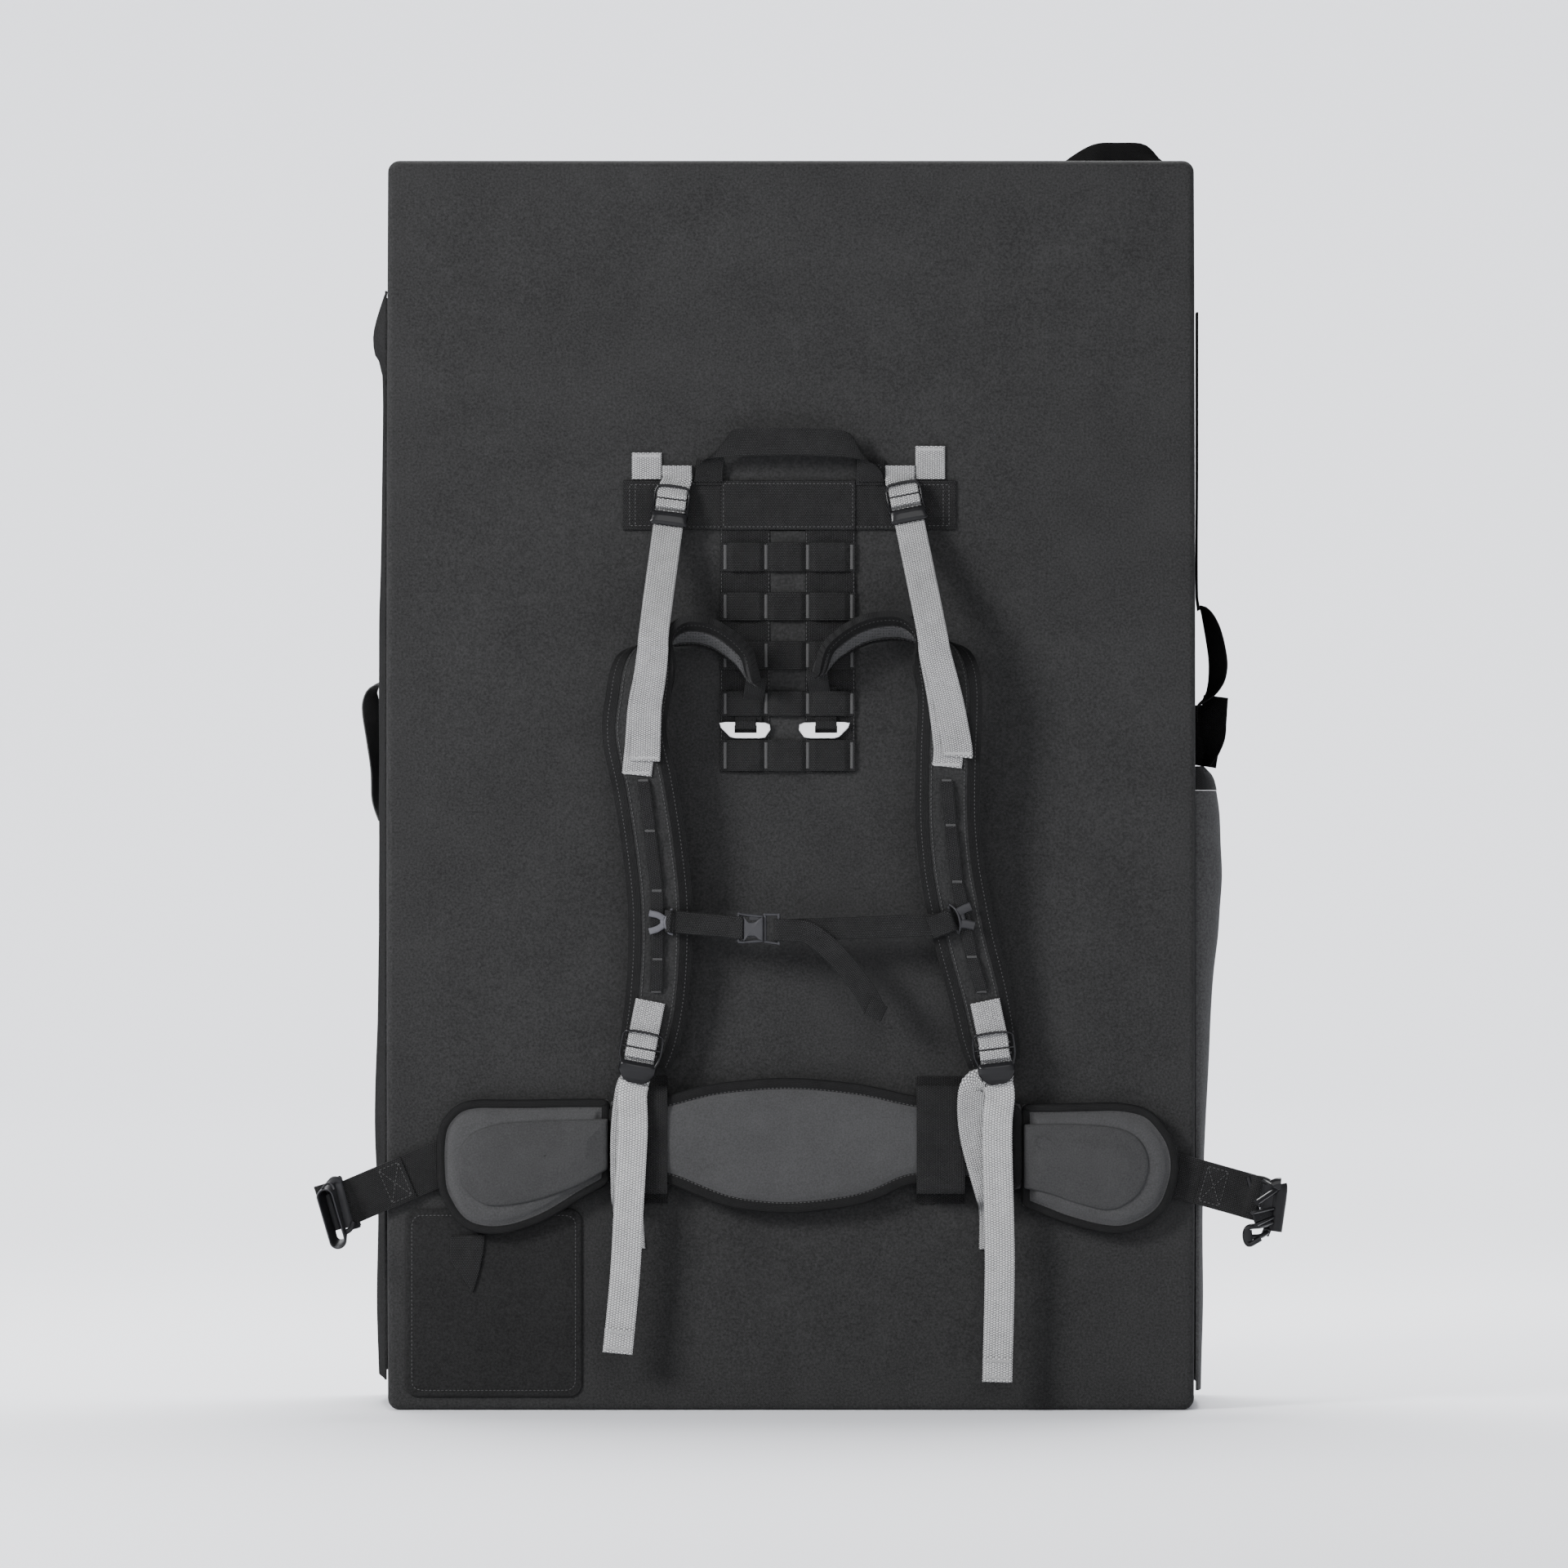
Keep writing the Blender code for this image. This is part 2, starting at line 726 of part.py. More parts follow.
def build_rail(side, line):
    """Narrow tape on the shoulder pad, tacked at each slit and raised between."""
    tacks = rail_pixels[side]
    places = []
    for (row, column), (next_row, next_column) in zip(tacks, tacks[1:]):
        for share in rail_flat_shares:
            lift = rail_lift if share else 0
            places.append((
                row + (next_row - row) * share, column + (next_column - column) * share, lift,
            ))
    places.append((*tacks[-1], 0))
    made = []
    for row, column, lift in places:
        depth = pad_front(line, pz(row))[1] - soft_gap - webbing_thickness / 2 - lift
        made.append(at(column, row, depth))
    strap("daisy_rail_" + side, made, rail_width, black_cloth, sideways)
    return made


def rail_place(made, row):
    height = pz(row)
    for upper, lower in zip(made, made[1:]):
        if upper.z >= height >= lower.z:
            return upper.lerp(lower, (upper.z - height) / (upper.z - lower.z))
    return made[-1]


# Ladder-locks and the straps through them


def lock_parts(name, place, lip):
    """Three-bar lock about its middle bar. Returns the places of its bars."""
    pitch = lock_bar + lock_slot
    low = -pitch - lock_bar / 2 - lip + lock_bar
    high = pitch + lock_bar / 2
    outline = rounded_rectangle(lock_width / 2, low, high, lock_bar / 2, 2)
    half = lock_thickness / 2
    lock = plate(name, place, outline, -half, half, lock_bevel, plastic)
    slot_half = lock_slot_length / 2
    for number, middle in enumerate((pitch / 2, -pitch / 2)):
        slot = box(
            f"{name}_slot_{number}", place, (-slot_half, slot_half),
            (middle - lock_slot / 2, middle + lock_slot / 2), (-lock_thickness, lock_thickness),
        )
        combine(lock, slot)
    return pitch, low


leg = lock_thickness / 2 + layer_gap + webbing_thickness / 2
back_leg = leg + layer_step
turn_share = 0.3
turn_cut = leg * turn_share


def loop_points(bar, rise, sign):
    """Strap end that comes down the front, round a bar and up the back."""
    half = lock_bar / 2
    under = bar - half - layer_gap - webbing_thickness / 2
    return [
        (bar + sign * rise, leg), (under + turn_cut, leg), (under, leg - turn_cut),
        (under, turn_cut - leg), (under + turn_cut, -leg), (bar + sign * rise, -leg),
    ]


def threaded_points(low):
    """Strap that comes up behind, over the middle bar and back under the lip."""
    over = lock_bar / 2 + layer_gap + webbing_thickness / 2
    down = low - webbing_thickness
    return [
        (low, -back_leg), (over - turn_cut, -back_leg), (over, turn_cut - back_leg),
        (over, leg - turn_cut), (over - turn_cut, leg), (turn_cut - over, leg),
        (-over, leg - turn_cut), (-over, turn_cut - leg), (-over - turn_cut, -leg),
        (down, -leg),
    ]


upper_sides = {"left": ((821.5, 619), 829), "right": ((1108.5, 614.5), 1102)}
tab_pixels = {
    "left": ((792, 554), (792, 586.5)),
    "right": ((1139, 546), (1139, 586.5)),
}
lifter_pixels = {
    "left": ((803, 766), (800, 800), (796, 832), (790, 866), (787, 915), (784, 949)),
    "right": ((1138, 766), (1143, 800), (1150, 832), (1157, 866), (1164, 915), (1163, 939)),
}
arch_depth_shares = (2.0, 2.0, 1.95)
loop_rows = (588, 580, 570)
loop_rise = 0.0040


def build_lifter(side, line):
    """Load lifter: sewn tab, loop, ladder-lock, strap and tail to the shoulder pad."""
    tab = [at(c, r, first_layer) for c, r in tab_pixels[side]]
    strap("lifter_tab_" + side, tab, wide_webbing, pale_cloth, sideways)
    (column, row), loop_column = upper_sides[side]
    load = []
    for number, (c, r) in enumerate(lifter_pixels[side]):
        if number < len(arch_depth_shares):
            depth = face * arch_depth_shares[number]
        else:
            depth = pad_front(line, pz(r))[1] - soft_gap - webbing_thickness / 2
        load.append(at(c, r, depth))
    tail = [point + toward_viewer * (layer_step + soft_gap) for point in load]
    end_share = 0.5
    tail[-1] = tail[-2].lerp(tail[-1], end_share)
    origin = at(column, row, face - lock_clear)
    place = Place(origin, origin - load[0])
    pitch, low = lock_parts("lifter_lock_" + side, place, upper_lock_lip)
    points = loop_points(pitch, loop_rise, 1)
    seat = [at(loop_column, r, first_layer) for r in loop_rows]
    seat[0].y = second_layer
    over = [point + toward_viewer * layer_step for point in seat]
    loop = list(reversed(over)) + [place.at(0, v, w) for v, w in points] + seat
    hints = [sideways] * len(seat) + [place.right] * len(points) + [sideways] * len(seat)
    strap("lifter_loop_" + side, loop, wide_webbing, pale_cloth, hints)
    inner = [place.at(0, v, w) for v, w in threaded_points(low)]
    whole = list(reversed(load)) + inner + tail
    hints = [sideways] * len(load) + [place.right] * len(inner) + [sideways] * len(tail)
    strap("lifter_strap_" + side, whole, wide_webbing, pale_cloth, hints)


lock_clear = 0.0135

lower_sides = {
    "left": ((784.5, 1289), (797, 1225), (0.19, 1)),
    "right": ((1217, 1290), (1205, 1225), (-0.12, 1)),
}
tail_pixels = {
    "left": ((775.5, 1385), (771, 1470), (766, 1560), (757, 1655)),
    "right": ((1220, 1385), (1222, 1480), (1223, 1560), (1220, 1690)),
}
anchor_pixels = {
    "left": ((779, 1335), (779, 1400), (779, 1462), (779, 1482), (779, 1530)),
    "right": ((1217, 1335), (1216, 1400), (1216, 1462), (1217, 1485), (1217, 1530)),
}
anchor_depth_shares = (1.47, 1.46, 1.45, 1.02, 1.02)
tail_depth_shares = (1.55, 1.58, 1.58, 1.57)
lower_lock_depth = 0.0985


def build_lower(side, line):
    """Lower adjuster: tab on the shoulder pad, lock, anchored strap and hanging tail."""
    (column, row), (tab_column, tab_row), lean = lower_sides[side]
    place = Place(at(column, row, -lower_lock_depth), Vector((lean[0], 0, lean[1])))
    pitch, low = lock_parts("adjuster_lock_" + side, place, lower_lock_lip)
    points = loop_points(pitch, 0, 1)[1:-1]
    over = pitch + lock_bar
    front = [place.at(0, v, w) for v, w in points]
    top_front = pad_front(line, pz(tab_row))[1] - soft_gap - webbing_thickness / 2
    tab = at(tab_column, tab_row, top_front)
    near = place.at(0, over, -leg)
    front_top = at(tab_column, tab_row, top_front - layer_step)
    tab_line = [front_top, place.at(0, over, leg)] + front + [near, tab]
    hints = [sideways] + [place.right] * (len(tab_line) - 2) + [sideways]
    strap("adjuster_tab_" + side, tab_line, wide_webbing, pale_cloth, hints)
    inner = [place.at(0, v, w) for v, w in threaded_points(low)]
    load = []
    for (c, r), share in zip(anchor_pixels[side], anchor_depth_shares):
        load.append(at(c, r, face * share))
    load[-1].y = first_layer
    load[-2].y = first_layer
    hints = [sideways] * len(load) + [place.right] * len(inner)
    strap("adjuster_strap_" + side, list(reversed(load)) + inner, wide_webbing, pale_cloth, hints)
    start = inner[-1] - (inner[-2] - inner[-1]).normalized() * tail_gap
    line_points = [start, start - place.up * tail_straight]
    for (c, r), share in zip(tail_pixels[side], tail_depth_shares):
        line_points.append(at(c, r, face * share))
    hints = smooth_line([place.right] * 2 + [sideways] * len(tail_depth_shares), 2)
    strap("adjuster_tail_" + side, smooth_line(line_points, 2), wide_webbing, pale_cloth, hints)


# Hip belt

lumbar_pixels = (
    (747, 1348), (790, 1345), (816, 1342), (853, 1332), (891, 1325), (966, 1320), (1041, 1326),
    (1080, 1333), (1120, 1342), (1180, 1347), (1250.5, 1351), (1250.5, 1456), (1180, 1451),
    (1118, 1448), (1080, 1464), (1041, 1476), (966, 1484), (899, 1478), (858, 1464),
    (816, 1447), (780, 1446), (747, 1445),
)
left_wing_pixels = (
    (746.3, 1346), (700, 1346), (650, 1347), (610, 1347), (585, 1347), (563, 1352), (548, 1365),
    (539.5, 1380), (536, 1408), (538, 1452), (546, 1473), (559, 1493), (576, 1505), (602, 1510),
    (633, 1506), (672, 1491), (715, 1465), (746.3, 1448),
)
right_wing_pixels = (
    (1251.2, 1352), (1290, 1352), (1335, 1351), (1372, 1351), (1405, 1359), (1426, 1380),
    (1438, 1402), (1442, 1429), (1437, 1455), (1426, 1480), (1405, 1498), (1375, 1509),
    (1344, 1507), (1303, 1496), (1275, 1485), (1251.2, 1476),
)
keeper_columns = {"left": 788, "right": 1151.5}
keeper_rows = (1318, 1332, 1458, 1474)
belt_front = face - lumbar_back_gap - lumbar_thickness
wing_back = face - wing_standoff
hinge_front = belt_front - wing_pad_rise


rim_shares = (1.2, 1.7)


def face_outline(pixels):
    return [(px(column), pz(row)) for column, row in pixels]


def build_belt():
    ground = Place(Vector((0, 0, 0)))
    back = -(face - lumbar_back_gap)
    soft = lumbar_thickness
    rim_share, slope_share, top_share = 0.18, 0.62, 0.9
    layers = (
        (belt_binding / 2, back), (0, back + soft * rim_share), (0, back + soft * slope_share),
        (belt_binding / 2, back + soft * top_share), (belt_binding, back + soft),
    )
    layered("hip_lumbar", ground, face_outline(lumbar_pixels), layers, mesh_cloth)
    reach = belt_front - seat_gap - webbing_thickness / 2 - seat_gap
    for side, column in keeper_columns.items():
        line = [
            at(column, keeper_rows[0], first_layer), at(column, keeper_rows[1], first_layer),
            at(column, keeper_rows[1], reach), at(column, keeper_rows[2], reach),
            at(column, keeper_rows[2], first_layer), at(column, keeper_rows[3], first_layer),
        ]
        width = px(1181) - px(1122)
        strap("belt_keeper_" + side, line, width, black_cloth, sideways)
    wing_start = -wing_back
    rim = belt_rim_thickness
    bulk = -belt_front
    for side, pixels in (("left", left_wing_pixels), ("right", right_wing_pixels)):
        layers = (
            (belt_binding, wing_start), (belt_binding / 4, wing_start + rim / 4),
            (0, wing_start + rim / 2), (0, wing_start + rim), (belt_binding / 4, wing_start + rim * rim_shares[0]),
            (belt_binding, wing_start + rim * rim_shares[0]), (belt_binding * rim_shares[0], bulk),
            (belt_binding * rim_shares[1], bulk + wing_pad_rise / 2),
        )
        layered("hip_wing_" + side, ground, face_outline(pixels), layers, cloth)


corner_share = 0.72
window_shares = (0.45, 0.8)
mouth_wall_share = 1.6
window_depth_share = 3
prong_root_shares = ((0.25, 0.5), (0, 1.6))
prong_crotch_shares = (0.9, 0.6)
stem_shares = (1.6, 0.4, 0.8, 0.97)
hip_sides = {
    "left": ((600, 1399), (428, 1472), (-1, -0.425)),
    "right": ((1378, 1422), (1535, 1466), (1, -0.28)),
}


def build_hip_buckle(side):
    """Belt webbing round a buckle bar, with a socket on the left and a plug on the right."""
    start, bar, lean = hip_sides[side]
    depth = wing_back + soft_gap + webbing_thickness / 2 + seat_gap
    direction = Vector((lean[0], 0, lean[1])).normalized()
    clearance = hip_bar * corner_share + layer_gap + webbing_thickness / 2
    origin = at(bar[0], bar[1], depth - clearance)
    place = Place(origin, direction)
    back = -clearance
    cut = clearance / 2
    length = (at(start[0], start[1], depth) - at(bar[0], bar[1], depth)).length
    return_share, return_start_share = 0.42, 3
    points = (
        (-length, back), (clearance - cut, back), (clearance, cut - clearance),
        (clearance, clearance - cut), (clearance - cut, clearance),
        (-hip_bar * corner_share, clearance), (-hip_bar * return_start_share, back + layer_step + seat_gap),
        (-length * return_share, back + layer_step + seat_gap),
    )
    line = [place.at(0, v, w) for v, w in points]
    strap("hip_webbing_" + side, line, hip_webbing_width, black_cloth, place.right)
    tilt = hip_buckle_turn
    out = place.out * math.cos(tilt) - place.up * math.sin(tilt)
    up = place.up * math.cos(tilt) + place.out * math.sin(tilt)
    turned = Place(origin, up, out)
    half = hip_buckle_width / 2
    bar_half = hip_bar / 2
    slot_half = hip_slot_length / 2
    if side == "left":
        thick = hip_buckle_thickness / 2
        outline = rounded_rectangle(half, -bar_half, hip_buckle_length, hip_bar, 3)
        body = plate(
            "hip_buckle_socket", turned, outline, -bar_half, 2 * thick - bar_half,
            hip_buckle_wall / 2, plastic,
        )
        reach = hip_buckle_thickness * 2
        slot = box(
            "hip_socket_slot", turned, (-slot_half, slot_half), (bar_half, bar_half + hip_slot),
            (-reach, reach),
        )
        combine(body, slot)
        relief = box(
            "hip_socket_relief", turned, (-slot_half - layer_gap, slot_half + layer_gap),
            (-reach, bar_half + hip_slot - layer_gap),
            (bar_half, reach),
        )
        combine(body, relief)
        mouth_wall = hip_buckle_wall * mouth_wall_share
        mouth = box(
            "hip_socket_mouth", turned,
            (mouth_wall - half, half - mouth_wall),
            (bar_half + hip_slot + hip_buckle_wall, hip_buckle_length + reach),
            (hip_buckle_wall - bar_half, 2 * thick - bar_half - hip_buckle_wall),
        )
        combine(body, mouth)
        window_depth = hip_buckle_wall * window_depth_share
        for number, sign in enumerate((-1, 1)):
            edge = sorted((sign * (half - window_depth), sign * (half + hip_buckle_wall)))
            window = box(
                f"hip_socket_window_{number}", turned, edge,
                (hip_buckle_length * window_shares[0], hip_buckle_length * window_shares[1]),
                (hip_buckle_wall, 2 * thick - bar_half * 2 - hip_buckle_wall),
            )
            combine(body, window)
        return
    base_end = bar_half + hip_slot + hip_bar
    tip = base_end + hip_prong_length
    prong = hip_prong_width
    inner_half = half - hip_buckle_wall * 2
    stem = prong / 2
    half_outline = [(half, -bar_half), (half, base_end)]
    half_outline += [
        (inner_half - prong * in_share, base_end + prong * up_share)
        for in_share, up_share in prong_root_shares
    ]
    half_outline += [(inner_half - prong / 3, tip), (inner_half - prong, tip)]
    half_outline += [
        (inner_half - prong * prong_crotch_shares[0], base_end + prong * prong_crotch_shares[1]),
    ]
    half_outline += [
        (stem * stem_shares[0], base_end), (stem, base_end + prong * stem_shares[1]),
        (stem * stem_shares[2], tip * stem_shares[3]),
    ]
    outline = half_outline + [(-u, v) for u, v in reversed(half_outline)]
    thick = hip_plug_thickness / 2
    body = plate("hip_buckle_plug", turned, outline, -thick, thick, hip_buckle_wall / 6, plastic)
    slot = box(
        "hip_plug_slot", turned, (-slot_half, slot_half), (bar_half, bar_half + hip_slot),
        (-hip_buckle_thickness, hip_buckle_thickness),
    )
    combine(body, slot)


# Chest strap

chest_row = 1134
slider_bar_columns = {"left": 822, "right": 1161}
slider_rows = 12


def build_slider(side, rail):
    """Clip hooked behind the raised rail, with an eye for the chest webbing."""
    row = chest_row
    sign = 1 if side == "left" else -1
    centre = rail_place(rail, row)
    origin = Vector((centre.x, centre.y, centre.z))
    reach = rail_place(rail, row - slider_rows) - rail_place(rail, row + slider_rows)
    place = Place(origin, Vector((0, reach.y, reach.z)))
    half_rail = rail_width / 2 + slider_play
    front = webbing_thickness / 2 + layer_gap
    back = -webbing_thickness / 2 - layer_gap
    bar_far = sign * (px(slider_bar_columns[side]) - centre.x) + slider_bar / 2
    outline = [
        (-half_rail - slider_lip, front + slider_plate), (bar_far, front + slider_plate),
        (bar_far, front), (-half_rail, front), (-half_rail, back),
        (0, back), (0, back - slider_lip), (-half_rail - slider_lip, back - slider_lip),
    ]
    half = slider_height / 2
    rings = [[place.at(sign * u, v, w) for u, w in outline] for v in (-half, half)]
    finish = grey_plastic if side == "left" else plastic
    body = from_rings("chest_slider_" + side, rings, finish)
    eye_end = bar_far - slider_bar
    span = sorted((sign * (eye_end - chest_slot), sign * eye_end))
    tall = chest_slot_height / 2
    eye = box(
        "chest_eye_" + side, place, span, (-tall, tall), (0, front + slider_plate * 2),
    )
    combine(body, eye)
    bar_middle = place.at(sign * (bar_far - slider_bar / 2), 0, front + slider_plate / 2)
    return bar_middle


buckle_pixels = (902.5, 935, 955.6)
chest_tail_pixels = (
    (985, 1140), (1003, 1150), (1023, 1168), (1042, 1190), (1058, 1212), (1070, 1234),
)


latch_shares = ((0, 0.15), (0, 0.75), (-0.35, 1), (-0.85, 1), (-1, 0.7), (-1, 0.35), (-0.35, 0.3))


def build_chest(rails):
    """Chest strap between the two rails, with its side-release buckle closed."""
    bars = {side: build_slider(side, rails[side]) for side in ("left", "right")}
    depth = (bars["left"].y + bars["right"].y) / 2
    row = chest_row
    socket_start, socket_end, plug_end = buckle_pixels
    centre = at(socket_start, row, depth)
    place = Place(centre)
    tall = chest_buckle_height / 2
    thick = chest_buckle_thickness / 2
    wall = chest_wall
    long = px(socket_end) - px(socket_start)
    middle_u = long / 2
    shell_place = Place(place.at(middle_u, 0, 0))
    outline = rounded_rectangle(middle_u, -tall, tall, chest_bar / 2, 2)
    socket = plate("chest_socket", shell_place, outline, -thick, thick, wall / 2, plastic)
    slot_half = chest_slot_height / 2
    deep = chest_buckle_thickness
    slot = box(
        "chest_socket_slot", place, (chest_bar, chest_bar + chest_slot), (-slot_half, slot_half),
        (-deep, deep),
    )
    combine(socket, slot)
    mouth_start = chest_bar + chest_slot + wall
    mouth = box(
        "chest_socket_mouth", place, (mouth_start, long + wall),
        (wall * 2 - tall, tall - wall * 2), (wall - thick, thick - wall),
    )
    combine(socket, mouth)
    plug_start = long + seat_gap
    plug_stop = px(plug_end) - px(socket_start)
    stem_tip = mouth_start + latch_play * 2
    stem = chest_stem_height / 2
    outline = [
        (plug_start, -tall), (plug_stop, -tall), (plug_stop, tall), (plug_start, tall),
        (plug_start, stem), (stem_tip, stem), (stem_tip, -stem), (plug_start, -stem),
    ]
    plug_thick = chest_plug_thickness / 2
    plug = plate("chest_plug", place, outline, -plug_thick, plug_thick, wall / 5, plastic)
    bar_start = plug_stop - chest_bar
    slot = box(
        "chest_plug_slot", place, (bar_start - chest_slot, bar_start), (-slot_half, slot_half),
        (-deep, deep),
    )
    combine(plug, slot)
    for name, sign in (("upper", 1), ("lower", -1)):
        low = stem + latch_play * 2
        high = tall - wall * 2 - latch_play
        root = plug_start - latch_play
        latch_reach = (root - mouth_start) * latch_reach_share
        outline = [
            (root + latch_reach * u, sign * (low + (high - low) * v)) for u, v in latch_shares
        ]
        if sign < 0:
            outline.reverse()
        arm_thick = plug_thick - latch_play / 2
        arm = plate(
            "chest_latch_" + name, place, outline, -arm_thick, arm_thick, wall / 6, plastic,
        )
        pivot = place.at(root, sign * (low + latch_height / 4), 0)
        for corner in arm.data.vertices:
            corner.co -= pivot
        arm.location = pivot
    keep = slider_bar / 2
    far = keep + layer_gap + webbing_thickness / 2
    apart = webbing_thickness / 2 + layer_gap / 2
    ease = far * 3
    first = bars["left"]
    last = place.at(chest_bar / 2, 0, 0)
    bar_depth = {"slider": slider_plate / 2, "socket": thick, "plug": plug_thick}
    margin = layer_gap + webbing_thickness / 2
    loose = margin + slider_room
    first_far = bar_depth["slider"] + loose
    last_far = bar_depth["socket"] + margin
    half_bar = chest_bar / 2
    run = last.x - first.x
    shift = last.y - first.y
    loop = [
        (keep, first_far), (ease, apart), (run - ease, apart - shift),
        (run - half_bar, last_far - shift), (run + half_bar, last_far - shift),
        (run + half_bar + margin, thick - shift), (run + half_bar + margin, -thick - shift),
        (run + half_bar, -last_far - shift), (run - half_bar, -last_far - shift),
        (run - ease, -apart - shift), (ease, -apart), (keep, -first_far), (-keep, -first_far),
        (-keep - loose, -bar_depth["slider"]), (-keep - loose, bar_depth["slider"]),
        (-keep, first_far),
    ]
    base = Place(Vector((first.x, first.y, pz(row))))
    line = [base.at(u, 0, w) for u, w in loop]
    strap("chest_webbing_left", line, chest_webbing, black_cloth, closed=True)
    origin = place.at(plug_stop - half_bar, 0, 0)
    end = bars["right"]
    base = Place(origin)
    run = end.x - origin.x
    shift = origin.y - end.y
    near_far = plug_thick + margin
    path = [
        (run - ease * 2, first_far + shift), (run - keep, first_far + shift),
        (run + keep, first_far + shift),
        (run + keep + loose, bar_depth["slider"] + shift),
        (run + keep + loose, -bar_depth["slider"] + shift),
        (run + keep, -first_far + shift), (run - keep, -first_far + shift),
        (run - ease, shift - apart), (ease, -apart), (half_bar, -near_far),
        (-half_bar, -near_far), (-half_bar - margin, -plug_thick),
        (-half_bar - margin, plug_thick), (-half_bar, near_far), (half_bar, near_far),
        (ease, near_far),
    ]
    line = [base.at(u, 0, w) for u, w in path]
    hints = [upward] * len(line)
    tail = [at(c, r, origin.y - near_far) for c, r in chest_tail_pixels]
    tail_hints = facing_hints(tail, toward_viewer)
    if tail_hints[0].z < 0:
        tail_hints = [-hint for hint in tail_hints]
    strap(
        "chest_webbing_right", line + tail, chest_webbing, black_cloth, hints + tail_hints,
    )


# Corner pocket

pocket_pixels = (496, 713, 1480, 1711)
pull_pixels = ((552, 1514), (594, 1511), (593, 1528), (590, 1544), (585, 1566), (579, 1583), (566, 1564), (552, 1542))
pocket_thickness = 0.0022


pull_layer_share = 1.5


def build_pocket():
    left, right, top, bottom = pocket_pixels
    middle = (px(left) + px(right)) / 2
    back = -(face - seat_gap)
    place = Place(Vector((middle, 0, 0)))
    outline = rounded_rectangle((px(right) - px(left)) / 2, pz(bottom), pz(top), pad_edge_radius, 3)
    plate("corner_pocket", place, outline, back, back + pocket_thickness, pocket_thickness / 4, cloth)
    ground = Place(Vector((0, 0, 0)))
    start = back + pocket_thickness + seat_gap
    plate(
        "pocket_pull", ground, face_outline(pull_pixels), start, start + webbing_thickness * pull_layer_share,
        webbing_thickness / 5, black_cloth,
    )


def main():
    clear_scene()
    pad_half("front", -half_thickness, 0)
    pad_half("rear", rear_start, rear_crown)
    build_side_sheets()
    build_edge_handles()
    build_yoke()
    build_hook("left", 912.5, 894, 913, 848)
    build_hook("right", 1009, 894, 1011.5, 841)
    rails = {}
    for side, stations in (("left", left_shoulder), ("right", right_shoulder)):
        line = build_shoulder(side, stations)
        rails[side] = build_rail(side, line)
        build_lifter(side, line)
        build_lower(side, line)
        build_hip_buckle(side)
    build_belt()
    build_chest(rails)
    build_pocket()


main()
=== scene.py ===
import math

import bpy
import numpy as np
from bpy.props import FloatProperty, FloatVectorProperty, PointerProperty
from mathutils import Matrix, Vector


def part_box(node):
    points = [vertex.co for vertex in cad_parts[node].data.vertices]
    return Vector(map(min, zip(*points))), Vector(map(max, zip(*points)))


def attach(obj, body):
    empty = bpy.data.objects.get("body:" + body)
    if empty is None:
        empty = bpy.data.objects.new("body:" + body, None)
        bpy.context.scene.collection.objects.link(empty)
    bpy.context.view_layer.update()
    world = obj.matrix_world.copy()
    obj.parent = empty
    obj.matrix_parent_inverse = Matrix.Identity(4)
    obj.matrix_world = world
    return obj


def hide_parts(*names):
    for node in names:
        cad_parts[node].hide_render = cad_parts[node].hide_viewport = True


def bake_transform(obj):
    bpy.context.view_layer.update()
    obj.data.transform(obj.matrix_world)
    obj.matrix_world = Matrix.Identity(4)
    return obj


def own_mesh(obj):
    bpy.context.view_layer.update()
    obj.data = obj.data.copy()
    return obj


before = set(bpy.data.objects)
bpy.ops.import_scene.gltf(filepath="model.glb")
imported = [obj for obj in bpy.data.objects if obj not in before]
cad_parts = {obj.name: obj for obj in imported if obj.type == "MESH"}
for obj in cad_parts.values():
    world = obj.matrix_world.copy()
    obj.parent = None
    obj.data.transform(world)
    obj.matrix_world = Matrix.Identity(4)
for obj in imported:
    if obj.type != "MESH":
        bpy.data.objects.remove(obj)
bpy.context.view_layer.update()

bl_info = {
    "name": "Bouldering Crash Pad",
    "version": (1, 0, 0),
    "blender": (4, 5, 0),
    "location": "3D Viewport > Sidebar > Crash Pad",
    "description": "Dresses the folded crash pad's frame with fabric, webbing and hardware",
    "category": "Object",
}

# The photograph's grid, as the frame uses it

PAD_WIDTH = 0.691
PAD_HEIGHT = 1.067
PAD_THICKNESS = 0.127
PHOTO_SIDE = 1920
PAD_COLUMNS, PAD_ROWS = 991, 1531
MIDDLE_COLUMN, FLOOR_ROW = 968.5, 1727
ACROSS = PAD_WIDTH / PAD_COLUMNS
UP = PAD_HEIGHT / PAD_ROWS
FACE = -PAD_THICKNESS / 2
REAR_START = PAD_THICKNESS / 2 + 0.0006
REAR_END = REAR_START + PAD_THICKNESS
# Thickness and width of the webbing
STRAP = 0.0016
INCH = 0.0254
# Air between sewn layers, and a strap's room round a bar or over another strap
GAP = 0.0003
SLACK = 0.0004
CAMERA_DISTANCE = 9.0
SIDE = np.array((1.0, 0.0, 0.0))
BACK = np.array((0.0, 1.0, 0.0))
TOP = np.array((0.0, 0.0, 1.0))
VIEWER = np.array((0.0, -1.0, 0.0))


def px(column):
    return (np.asarray(column, float) - MIDDLE_COLUMN) * ACROSS


def pz(row):
    return (FLOOR_ROW - np.asarray(row, float)) * UP


def at(column, row, depth):
    """Point at a photograph column and row, at a depth along Y."""
    return np.array((px(column), depth, pz(row)), float)


def unit(v):
    """Rows of v divided by their lengths."""
    v = np.asarray(v, float)
    return v / np.maximum(np.linalg.norm(v, axis=-1, keepdims=True), 1e-12)


